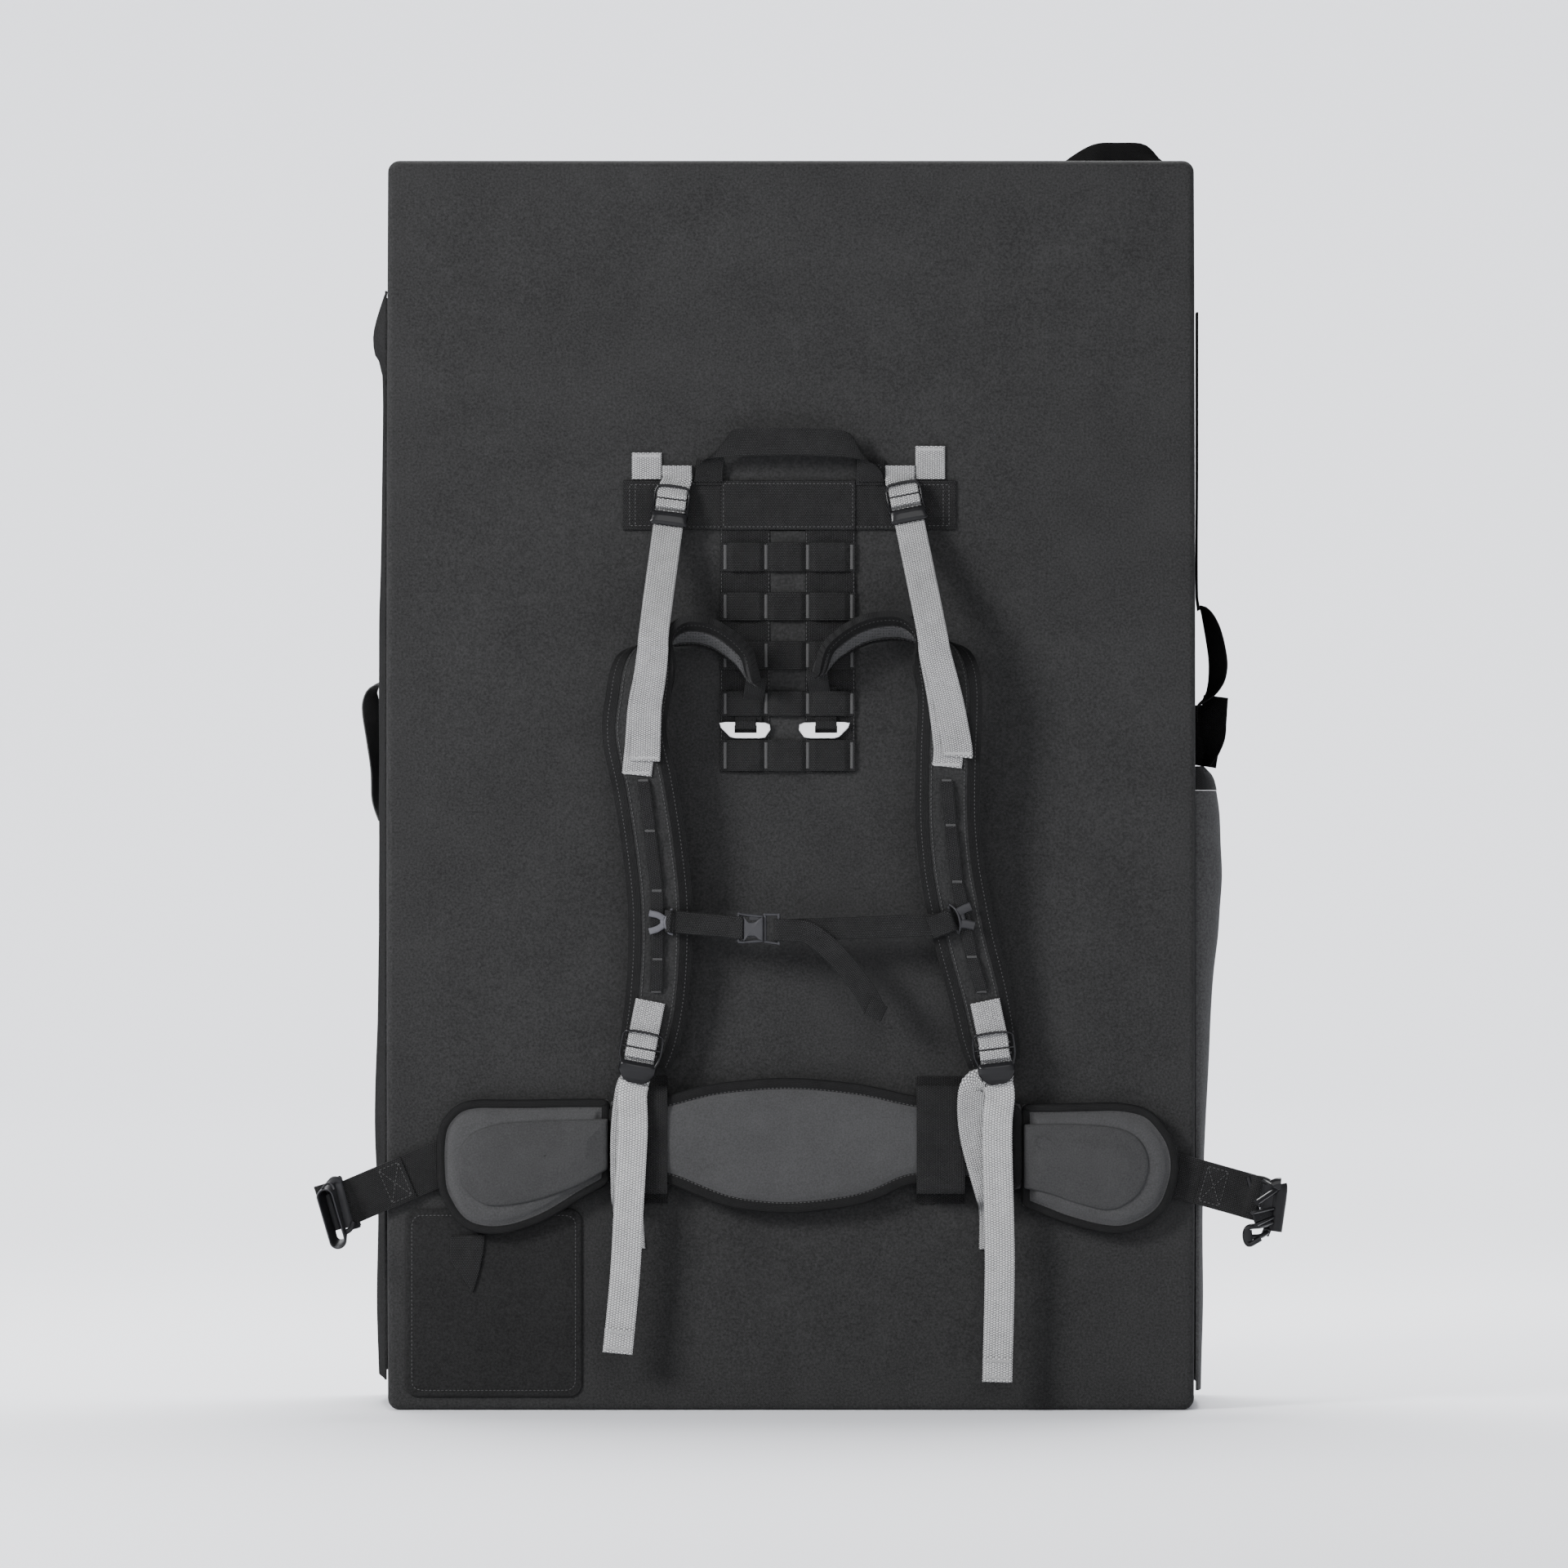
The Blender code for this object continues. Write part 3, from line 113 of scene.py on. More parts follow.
def curve(points, spacing=0.004, closed=False, least=2):
    """Smooth curve through the points: each span is the cubic whose end slopes are half the
    difference of the neighbours, read at steps of about the spacing. Columns past the third,
    such as width or hint values, follow the same cubic."""
    p = np.asarray(points, float)
    if closed:
        p = np.vstack((p[-1:], p, p[:2]))
    else:
        p = np.vstack((p[:1], p, p[-1:]))
    out = []
    for i in range(1, len(p) - 2):
        steps = max(least, int(np.linalg.norm(p[i + 1, :3] - p[i, :3]) / spacing))
        t = (np.arange(steps) / steps)[:, None]
        a, b, c, d = p[i - 1], p[i], p[i + 1], p[i + 2]
        out.append(
            (2 * b + (c - a) * t + (2 * a - 5 * b + 4 * c - d) * t**2
             + (3 * b - a - 3 * c + d) * t**3) / 2
        )
    if not closed:
        out.append(p[-2:-1])
    return np.vstack(out)


def frames(path, across, closed=False):
    """Direction, width direction and face direction at each point of a path."""
    if closed:
        along = unit(np.roll(path, -1, 0) - np.roll(path, 1, 0))
    else:
        along = unit(np.gradient(path, axis=0))
    across = np.broadcast_to(across, path.shape)
    wide = unit(across - along * np.sum(across * along, 1, keepdims=True))
    return along, wide, np.cross(along, wide)


def facing(path, face=VIEWER):
    """Width directions that keep a strap's flat side turned to one way."""
    return unit(np.cross(np.gradient(path, axis=0), face))


def lengths(path):
    """Distance along the path at each of its points."""
    return np.concatenate(([0], np.cumsum(np.linalg.norm(np.diff(path, axis=0), axis=1))))


def grid_quads(rows, columns, closed, ring=True):
    """Faces of a grid, as four vertex numbers each."""
    i = np.arange(rows if closed else rows - 1)[:, None]
    j = np.arange(columns if ring else columns - 1)[None, :]
    i2, j2 = (i + 1) % rows, (j + 1) % columns
    corners = (i * columns + j, i * columns + j2, i2 * columns + j2, i2 * columns + j)
    return np.stack(corners, -1).reshape(-1, 4)


def linked(name, points, faces, uv=None):
    """Smooth piece of the points and faces, with uv values given by vertex."""
    mesh = bpy.data.meshes.new(name)
    mesh.from_pydata(points.reshape(-1, 3).tolist(), [], faces)
    if uv is not None:
        layer = mesh.uv_layers.new(name="UVMap")
        loops = np.empty(len(mesh.loops), np.int32)
        mesh.loops.foreach_get("vertex_index", loops)
        layer.data.foreach_set("uv", uv.reshape(-1, 2)[loops].astype(np.float32).ravel())
    mesh.shade_smooth()
    piece = bpy.data.objects.new(name, mesh)
    bpy.context.scene.collection.objects.link(piece)
    return piece


def grid_mesh(name, points, uv=None, closed=False, ring=True):
    """Piece over a grid of points, rows by columns. Columns close into a ring, rows may too."""
    rows, columns = points.shape[:2]
    faces = grid_quads(rows, columns, closed, ring).tolist()
    if ring and not closed:
        faces.append(list(range(columns))[::-1])
        faces.append([(rows - 1) * columns + k for k in range(columns)])
    return linked(name, points, faces, uv)


def joined(name, grids):
    """One piece of several closed grids, each given as points, whether its rows close, and uv."""
    verts, faces, uvs, start = [], [], [], 0
    for points, closed, uv in grids:
        rows, columns = points.shape[:2]
        quads = grid_quads(rows, columns, closed)
        ring = np.arange(columns)
        ends = () if closed else (ring[::-1], (rows - 1) * columns + ring)
        flat = points.reshape(-1, 3)
        a, b, c, d = (flat[quads[:, k]] for k in range(4))
        volume = np.sum(a * np.cross(b, c)) + np.sum(a * np.cross(c, d))
        for ring in ends:
            hub = flat[ring[0]]
            volume += np.sum(hub * np.cross(flat[ring[1:-1]], flat[ring[2:]]).sum(0))
        turn = -1 if volume < 0 else 1
        faces += (quads[:, ::turn] + start).tolist()
        faces += [(ring[::turn] + start).tolist() for ring in ends]
        verts.append(flat)
        uvs.append(np.asarray(uv).reshape(-1, 2))
        start += len(flat)
    return linked(name, np.vstack(verts), faces, np.vstack(uvs))


def swept(path, across, section, closed=False):
    """Grid of a section carried along a path, with its run and across values."""
    along, wide, out = frames(path, across, closed)
    section = np.asarray(section, float)
    if section.ndim == 2:
        section = np.broadcast_to(section, (len(path),) + section.shape)
    points = path[:, None] + wide[:, None] * section[..., :1] + out[:, None] * section[..., 1:]
    run = np.broadcast_to(lengths(path)[:, None], points.shape[:2])
    return points, closed, np.stack((run, section[..., 0]), -1)


def oval(width, height, count=14, power=0.8):
    """Rounded section: an ellipse whose corners fill out as the power falls."""
    a = np.linspace(0, 2 * math.pi, count + 1)[:-1]
    shape = [np.sign(f(a)) * np.abs(f(a)) ** power for f in (np.cos, np.sin)]
    return np.stack((shape[0] * width / 2, shape[1] * height / 2), -1)


def fix_normals(piece):
    """Turns a closed piece's faces outwards by the sign of its volume."""
    mesh = piece.data
    mesh.calc_loop_triangles()
    co = np.empty(len(mesh.vertices) * 3)
    mesh.vertices.foreach_get("co", co)
    co = co.reshape(-1, 3)
    tri = np.empty(len(mesh.loop_triangles) * 3, np.int32)
    mesh.loop_triangles.foreach_get("vertices", tri)
    a, b, c = (co[tri.reshape(-1, 3)[:, k]] for k in range(3))
    if np.sum(a * np.cross(b, c)) < 0:
        mesh.flip_normals()
    return piece


finishes = {}
SLOTS = {
    "flap": "flap_fabric", "lining": "spacer_mesh", "pale": "pale_webbing", "tail": "pale_webbing",
    "thread_pale": "pale_webbing",
    **dict.fromkeys(("fabric", "pocket", "shoulder", "spine", "belt", "belt_dark"), "pad_fabric"),
    **dict.fromkeys(("deep", "webbing", "binding", "tape", "thread_black", "thread_grey"),
                    "black_webbing"),
    **dict.fromkeys(("plastic", "gloss", "satin", "clip"), "black_plastic"),
}


def finish(piece, kind, *nodes, body="harness_half", slot=None, sharp=50):
    """Gives a piece its finish and its body, and hides the nodes it stands for. The slot
    argument is not used.
    """
    fix_normals(piece)
    piece.data.materials.append(finishes[kind])
    piece.data.set_sharp_from_angle(angle=math.radians(sharp))
    if nodes:
        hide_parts(*nodes)
    if body:
        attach(piece, body)
    return piece


def strap_section(width, thick):
    """Flat band section with softly rounded edges, as across and out offsets."""
    u, v = width / 2, thick / 2
    edge = v * 0.9
    side = [(-u, 0), (-u + edge * 0.3, -v * 0.8), (-u + edge, -v)]
    middle = [(-u * 0.5, -v * 0.97), (0, -v * 0.94), (u * 0.5, -v * 0.97)]
    low = side + middle + [(u - edge, -v), (u - edge * 0.3, -v * 0.8), (u, 0)]
    high = [(a, -b) for a, b in low[::-1]][1:-1]
    return np.array(low + high)


def carried(name, path, across, section, closed=False):
    """Piece of a section carried along a path."""
    points, closed, uv = swept(path, across, section, closed)
    return grid_mesh(name, points, uv, closed)


def webbing(name, path, across=TOP, width=INCH, thick=STRAP, closed=False):
    return carried(name, path, across, strap_section(width, thick), closed)


def standing(flat, depth):
    """Points of a flat outline, at one depth."""
    return np.stack((flat[:, 0], np.full(len(flat), depth), flat[:, 1]), -1)


def level_line(first, last, count, depth, height):
    """Points at even columns, at one depth and one height."""
    x = px(np.linspace(first, last, count))
    return standing(np.stack((x, np.full(count, height)), -1), depth)


# Lengths of a seam's stitch and of a bar tack's, the thread's width and the stitches' distances
STITCH, TACK, THREAD = 0.0026, 0.0034, 0.0006
STITCH_PITCH, TACK_PITCH, TACK_HALF = 0.0034, 0.0007, 0.011


def stitch_mesh(name, spots, along, out, length):
    """Row of sewn stitches: each is a six-sided bead, long along the seam and low."""
    spots, along, out = (np.asarray(a, float).reshape(-1, 3) for a in (spots, along, out))
    wide = np.cross(along, out)
    shape = np.array((
        (-0.5, 0, -0.3), (-0.25, -0.5, 0.5), (-0.25, 0.5, 0.5), (0.25, -0.5, 0.5),
        (0.25, 0.5, 0.5), (0.5, 0, -0.3), (0, -0.6, -0.6), (0, 0.6, -0.6),
    ))
    pts = (
        spots[:, None] + along[:, None] * (shape[:, 0] * length)[None, :, None]
        + wide[:, None] * (shape[:, 1] * THREAD)[None, :, None]
        + out[:, None] * (shape[:, 2] * THREAD)[None, :, None]
    )
    tri = np.array((
        (0, 1, 2), (1, 3, 4), (1, 4, 2), (3, 5, 4), (0, 6, 1), (1, 6, 3), (3, 6, 5),
        (0, 2, 7), (2, 4, 7), (4, 5, 7), (0, 7, 6), (5, 6, 7),
    ))
    faces = (tri[None] + (np.arange(len(spots)) * len(shape))[:, None, None]).reshape(-1, 3)
    return linked(name, pts, faces.tolist())


def stitch_line(points):
    """Even spots along a line, with their directions."""
    path = np.asarray(points, float)
    run = lengths(path)
    count = max(2, int(run[-1] / STITCH_PITCH))
    s = (np.arange(count) + 0.5) * run[-1] / count
    spots, ahead, behind = (
        np.stack([np.interp(s + shift, run, path[:, k]) for k in range(3)], -1)
        for shift in (0, STITCH_PITCH / 2, -STITCH_PITCH / 2)
    )
    return spots, unit(ahead - behind)


class Seams:
    """Collects stitches, and makes one piece for each body and thread at the end."""

    def __init__(self):
        self.rows = {}

    def line(self, points, out=VIEWER, body="harness_half", colour="thread_black"):
        spots, along = stitch_line(points)
        out = np.asarray(out, float)
        if out.ndim == 2:
            near = np.linspace(0, len(out) - 1, len(spots)).round().astype(int)
            out = out[near]
        out = unit(np.broadcast_to(out, spots.shape))
        out = unit(out - along * np.sum(out * along, 1, keepdims=True))
        self.rows.setdefault((body, colour, STITCH), []).append((spots, along, out))

    def box(self, centre, half_u, half_v, right=SIDE, up=TOP, out=VIEWER, cross=True,
            body="harness_half", colour="thread_black"):
        """Sewn rectangle, with the two diagonals that box stitching has."""
        c = np.asarray(centre, float)
        k = [c + right * (a * half_u) + up * (b * half_v)
             for a, b in ((-1, -1), (1, -1), (1, 1), (-1, 1))]
        for a, b in ((0, 1), (1, 2), (2, 3), (3, 0)) + (((0, 2), (1, 3)) if cross else ()):
            self.line((k[a], k[b]), out, body, colour)

    def tack(self, start, end, body="harness_half", colour="thread_black"):
        """Bar tack: close stitches laid side by side across a short line."""
        start, end = np.asarray(start, float), np.asarray(end, float)
        count = max(3, int(np.linalg.norm(end - start) / TACK_PITCH))
        t = (np.arange(count) + 0.5)[:, None] / count
        spots = start + (end - start) * t
        along = np.broadcast_to(unit(np.cross(end - start, VIEWER)), spots.shape)
        out = np.broadcast_to(VIEWER, spots.shape)
        self.rows.setdefault((body, colour, TACK), []).append((spots, along, out))

    def across(self, spot, right=SIDE, body="harness_half"):
        """Pale bar tack across an inch strap."""
        self.tack(spot - right * TACK_HALF, spot + right * TACK_HALF, body, "thread_pale")

    def make(self):
        for number, ((body, colour, length), rows) in enumerate(sorted(self.rows.items())):
            spots, along, out = (np.vstack([row[k] for row in rows]) for k in range(3))
            piece = stitch_mesh(f"stitches_{body}_{number}", spots, along, out, length)
            finish(piece, colour, body=body)
        self.rows = {}


seams = Seams()

# Finishes


class Tree:
    """Short calls for a material's nodes."""

    def __init__(self, name):
        self.material = bpy.data.materials.new(name)
        self.material.use_nodes = True
        self.nodes = self.material.node_tree.nodes
        self.links = self.material.node_tree.links
        self.shader = self.nodes["Principled BSDF"]

    def fill(self, node, inputs):
        """Sets a node's inputs, or links them where the value is a socket."""
        for key, value in inputs.items():
            socket = node.inputs[key]
            if isinstance(value, bpy.types.NodeSocket):
                self.links.new(value, socket)
            else:
                socket.default_value = value

    def add(self, kind, inputs=None, **settings):
        node = self.nodes.new(kind)
        for key, value in settings.items():
            setattr(node, key, value)
        self.fill(node, inputs or {})
        return node

    def math(self, operation, a, b=0.0):
        return self.add("ShaderNodeMath", {0: a, 1: b}, operation=operation).outputs[0]

    def total(self, first, *others):
        for other in others:
            first = self.math("ADD", first, other)
        return first

    def times(self, a, b):
        return self.math("MULTIPLY", a, b)

    def place(self):
        return self.add("ShaderNodeTexCoord").outputs["Object"]

    def noise(self, place, scale, detail=2.0, **more):
        inputs = {"Vector": place, "Scale": scale, "Detail": detail, **more}
        return self.add("ShaderNodeTexNoise", inputs).outputs[0]

    def bump(self, height, distance, strength=1.0, below=None):
        inputs = {"Height": height, "Distance": distance, "Strength": strength}
        if below is not None:
            inputs["Normal"] = below
        return self.add("ShaderNodeBump", inputs).outputs[0]

    def shade(self, colour, dark, light, factor):
        """Colour between two shares of one colour."""
        ramp = self.add("ShaderNodeValToRGB", {"Fac": factor})
        ramp.color_ramp.elements[0].color = (*tone(colour, dark), 1)
        ramp.color_ramp.elements[1].color = (*tone(colour, light), 1)
        return ramp.outputs[0]

    def surface(self, colour, rough, shine, normal=None, **more):
        """Fills the shader, and gives the material."""
        inputs = {"Base Color": colour, "Roughness": rough, "Specular IOR Level": shine, **more}
        if normal is not None:
            inputs["Normal"] = normal
        self.fill(self.shader, inputs)
        return self.material


TURN = 2 * math.pi
TWILL_PITCH = 0.0013


def tone(colour, share):
    return tuple(min(1.0, c * share) for c in colour)


def uv_parts(tree):
    uv = tree.add("ShaderNodeUVMap", uv_map="UVMap").outputs[0]
    split = tree.add("ShaderNodeSeparateXYZ", {0: uv})
    return split.outputs[0], split.outputs[1]


def woven(name, colour, pitch, depth, rough, sheen=0.02, shine=0.06):
    """Plain weave: the product of two sine waves, one along and one across, sets the height
    of the threads, and two sizes of noise vary the tone. The threads' height also darkens
    the hollows of the weave in the colour, as painted shade."""
    tree = Tree(name)
    du, dv = (tree.math("SINE", tree.times(part, TURN / pitch)) for part in uv_parts(tree))
    threads = tree.times(du, dv)
    place = tree.place()
    fine = tree.noise(place, 520.0, 3.0, Roughness=0.7)
    broad = tree.noise(place, 22.0, 4.0)
    grain = tree.times(tree.math("SUBTRACT", fine, 0.5), 2.4)
    # Painted shade: the threads' height darkens the weave's hollows; the noise is the cloth's own
    # uneven tone
    mixed = tree.total(tree.times(threads, 0.12), grain, tree.times(broad, 0.5), 0.25)
    normal = tree.bump(threads, depth, 0.8, tree.bump(broad, 0.0012, 0.35))
    return tree.surface(tree.shade(colour, 0.6, 1.4, mixed), rough, shine, normal,
                        **{"Sheen Weight": sheen, "Sheen Roughness": 0.5})


def ribbed(name, colour, pitch, depth, rough, spread=0.30, groove_shade=0.34, shine=0.08):
    """Webbing: close ribs across the strap, broken by a half step from thread to thread. The
    ribs' sine wave also darkens the grooves between them in the colour, as painted shade."""
    tree = Tree(name)
    u, v = uv_parts(tree)
    lane_width = pitch * 1.15
    lane = tree.math("FLOOR", tree.math("DIVIDE", v, lane_width))
    shift = tree.times(tree.math("MODULO", tree.math("ABSOLUTE", lane), 2.0), math.pi)
    ribs = tree.math("SINE", tree.total(tree.times(u, TURN / pitch), shift))
    lanes = tree.math("COSINE", tree.times(v, TURN / lane_width))
    threads = tree.math("SUBTRACT", ribs, tree.times(lanes, 0.5))
    place = tree.place()
    fine, broad = tree.noise(place, 700.0), tree.noise(place, 60.0, 3.0)
    grain = tree.times(fine, 0.5), tree.times(broad, 0.4)
    # Painted shade: the ribs' height darkens the grooves and lightens the rib tops in the colour
    mixed = tree.total(tree.times(threads, groove_shade), *grain, 0.05)
    colour_out = tree.shade(colour, 1 - spread * 2, 1 + spread * 2, mixed)
    return tree.surface(colour_out, rough, shine, tree.bump(threads, depth, 0.9))


def spacer_mesh(name, colour):
    """Open knitted mesh: round holes in rows, each row stepped by half a hole. The holes are
    darkened in the colour, as painted shade inside them.
    """
    tree = Tree(name)
    place = tree.place()
    cells = tree.add("ShaderNodeTexVoronoi", {"Vector": place, "Scale": 420.0, "Randomness": 0.25})
    holes = tree.add("ShaderNodeMapRange", {
        "Value": cells.outputs["Distance"], "From Min": 0.18, "From Max": 0.42,
    }).outputs[0]
    # Painted shade: the holes are darkened in the colour; the noise is the mesh's own uneven tone
    level = tree.times(tree.total(holes, tree.noise(place, 60.0, 3.0)), 0.66)
    colour_out = tree.shade(colour, 0.35, 1.35, level)
    return tree.surface(colour_out, 0.9, 0.2, tree.bump(holes, 0.0010, 0.9))


def twill(name, colour):
    """Coarse belt cloth: slanting threads, the sine of the sum of the two directions, crossed
    by the sine of their difference, with broad uneven tone. The threads' height also darkens
    the hollows in the colour, as painted shade."""
    tree = Tree(name)
    place = tree.place()
    split = tree.add("ShaderNodeSeparateXYZ", {0: place})
    x, z = (tree.times(split.outputs[k], TURN / TWILL_PITCH) for k in (0, 2))
    slant, cross = (tree.math("SINE", tree.math(way, x, z)) for way in ("ADD", "SUBTRACT"))
    dots = tree.times(slant, cross)
    fine, broad = tree.noise(place, 800.0), tree.noise(place, 40.0, 3.0)
    # Painted shade: the threads' height darkens the hollows; the noise is the cloth's own uneven
    # tone
    mixed = tree.times(tree.total(tree.times(dots, 0.32), fine, tree.times(broad, 0.35)), 0.74)
    colour_out = tree.shade(colour, 0.45, 1.55, mixed)
    return tree.surface(colour_out, 0.85, 0.12, tree.bump(dots, 0.00035, 0.9))


def moulded(name, colour, rough, metallic=0.0, grain=0.00006):
    """Moulded plastic or satin metal: fine grain in the surface and slightly uneven gloss."""
    tree = Tree(name)
    place = tree.place()
    fine, broad = tree.noise(place, 1800.0), tree.noise(place, 90.0, 4.0)
    gloss = tree.add("ShaderNodeMapRange", {
        "Value": broad, "To Min": rough * 0.8, "To Max": rough * 1.25,
    }).outputs[0]
    return tree.surface(tree.shade(colour, 0.86, 1.14, broad), gloss, 0.5 if metallic else 0.22,
                        tree.bump(fine, grain, 0.5), Metallic=metallic)


def thread(name, colour):
    tree = Tree(name)
    return tree.surface(tree.shade(colour, 0.7, 1.3, tree.noise(tree.place(), 1500.0)), 0.6, 0.5)


# Pad halves


def rectangle(half, low, high, radius, bulge, side_steps, end_steps):
    """Rectangle outline from its lower right corner round: straight sides that swell by a
    parabola, and quarter circles at the corners."""
    t = (np.arange(side_steps) + 0.5) / side_steps
    e = (np.arange(end_steps) + 0.5) / end_steps
    a = np.linspace(0, math.pi / 2, 9)
    swell = bulge * (1 - (2 * t - 1) ** 2)
    zs = low + radius + (high - low - 2 * radius) * t
    xs = (half - radius) * (1 - 2 * e)

    def corner(cx, cz, start):
        return np.stack((cx + radius * np.cos(start + a), cz + radius * np.sin(start + a)), -1)

    inner = half - radius
    return np.vstack((
        corner(inner, low + radius, -math.pi / 2),
        np.stack((half + swell, zs), -1),
        corner(inner, high - radius, 0),
        np.stack((xs, np.full_like(xs, high)), -1),
        corner(-inner, high - radius, math.pi / 2),
        np.stack((-half - swell, zs[::-1]), -1),
        corner(-inner, low + radius, math.pi),
        np.stack((-xs, np.full_like(xs, low)), -1),
    ))


def ripple(x, z, seed, size):
    """Slow uneven waves: a sum of sines whose directions and phases come from the seed."""
    maker = np.random.default_rng(seed)
    total = np.zeros_like(x)
    for _ in range(9):
        angle = maker.uniform(0, math.pi)
        pitch = size * maker.uniform(0.6, 1.8)
        phase = maker.uniform(0, 2 * math.pi)
        total += np.sin((x * math.cos(angle) + z * math.sin(angle)) * 2 * math.pi / pitch + phase)
    return total / 9


COVER_HALF = PAD_WIDTH / 2 - 0.0012


def cover_outline():
    return rectangle(COVER_HALF, 0, PAD_HEIGHT, 0.010, 0.0012, 150, 96)


def cover_surface(name, start, end, low_crown, high_crown, seed):
    """Stuffed cover: the outline shrinks towards the middle of each face in rings. Near the
    edge a ring follows a quarter round, then the face rises by its crown, and slow waves and
    short puckers along the seams move it in and out. Waves are half as deep on a face that
    lies inside the folded pad, whose crown is negative."""
    half, outline = COVER_HALF, cover_outline()
    middle = PAD_HEIGHT / 2
    radius = 0.0058
    a = np.linspace(math.pi / 2, 0, 7)
    edge_in = radius * (1 - np.cos(a))
    edge_y = radius * (1 - np.sin(a))
    share = np.linspace(0.0, 1.0, 60)[1:]
    inward = radius + (half * 0.94 - radius) * share
    face_rise = 1 - (1 - np.minimum(1, share * 1.6)) ** 2
    walls = np.linspace(start + radius, end - radius, 8)[1:-1]
    steps = []
    for d, r in zip(inward[::-1], face_rise[::-1]):
        steps.append((d, start - low_crown * r, 1.0))
    for d, y in zip(edge_in, edge_y):
        steps.append((d, start + y, 1.0 - y / radius))
    for y in walls:
        steps.append((0, y, 0))
    for d, y in zip(edge_in[::-1], edge_y[::-1]):
        steps.append((d, end - y, -(1.0 - y / radius)))
    for d, r in zip(inward, face_rise):
        steps.append((d, end + high_crown * r, -1.0))
    steps = np.array(steps)
    d, y, side = (steps[:, k][:, None] for k in range(3))
    x = outline[None, :, 0] * (1 - d / half)
    z = middle + (outline[None, :, 1] - middle) * (1 - d / middle)
    y = np.broadcast_to(y, x.shape).copy()
    gap = np.minimum(half - np.abs(x), np.minimum(z, PAD_HEIGHT - z))
    open_face = np.clip(gap / 0.05, 0, 1)
    wave = ripple(x, z, seed, 0.30) * 0.0010 + ripple(x, z, seed + 1, 0.09) * 0.00022
    round_edge = np.clip(1 - np.abs(gap - 0.016) / 0.022, 0, 1)
    run = np.where(half - np.abs(x) < np.minimum(z, PAD_HEIGHT - z), z, x)
    pucker = ripple(run, run * 0, seed + 2, 0.028) * 0.00045 * round_edge
    calm = np.where(side > 0, *(0.5 if crown < 0 else 1.0 for crown in (low_crown, high_crown)))
    y -= side * ((wave - 0.0006) * open_face * calm + pucker)
    points = np.stack((x, y, z), -1)
    uv = np.stack((x + y, z + y), -1)
    return grid_mesh(name, points, uv)


def seam_cord(name, y):
    """Piped seam round a face: a thin tube on the outline, drawn in a little."""
    inset, width = 0.0020, 0.0022
    flat = cover_outline()
    middle = PAD_HEIGHT / 2
    x = flat[:, 0] * (1 - inset / COVER_HALF)
    z = middle + (flat[:, 1] - middle) * (1 - inset / middle)
    path = standing(np.stack((x, z), -1), y)
    return carried(name, path, BACK, oval(width, width, 8, 1.0), closed=True)


# Depths and parts that several groups of straps share

FIRST_LAYER = FACE - GAP - STRAP / 2
LAYER_STEP = STRAP + SLACK


def place_frame(origin, up, out=VIEWER):
    """Local frame of a buckle: right, up and out directions."""
    up = unit(up)
    out = unit(np.asarray(out) - up * np.dot(out, up))
    return np.asarray(origin, float), np.cross(up, out), up, out


def local(frame_, u, v, w):
    origin, right, up, out = frame_
    return origin + right * u + up * v + out * w


# Ladder-lock: bars, slots and thickness, then a strap's distance from a bar's middle
LOCK_BAR, LOCK_SLOT, LOCK_THICK = 0.0040, 0.0052, 0.0040
PITCH = LOCK_BAR + LOCK_SLOT
LEG = LOCK_THICK / 2 + SLACK + STRAP / 2
BACK_LEG = LEG + LAYER_STEP
CUT = LEG * 0.3


def loop_points(bar, rise):
    """Strap end that comes down the front, round a bar and up the back."""
    under = bar - LOCK_BAR / 2 - SLACK - STRAP / 2
    return [
        (bar + rise, LEG), (under + CUT, LEG), (under, LEG - CUT),
        (under, CUT - LEG), (under + CUT, -LEG), (bar + rise, -LEG),
    ]


def threaded_points(low):
    """Strap that comes up behind, over the middle bar and back under the lip."""
    over = LOCK_BAR / 2 + SLACK + STRAP / 2
    return [
        (low, -BACK_LEG), (over - CUT, -BACK_LEG), (over, CUT - BACK_LEG), (over, LEG - CUT),
        (over - CUT, LEG), (CUT - over, LEG), (-over, LEG - CUT), (-over, CUT - LEG),
        (-over - CUT, -LEG), (low - STRAP, -LEG),
    ]


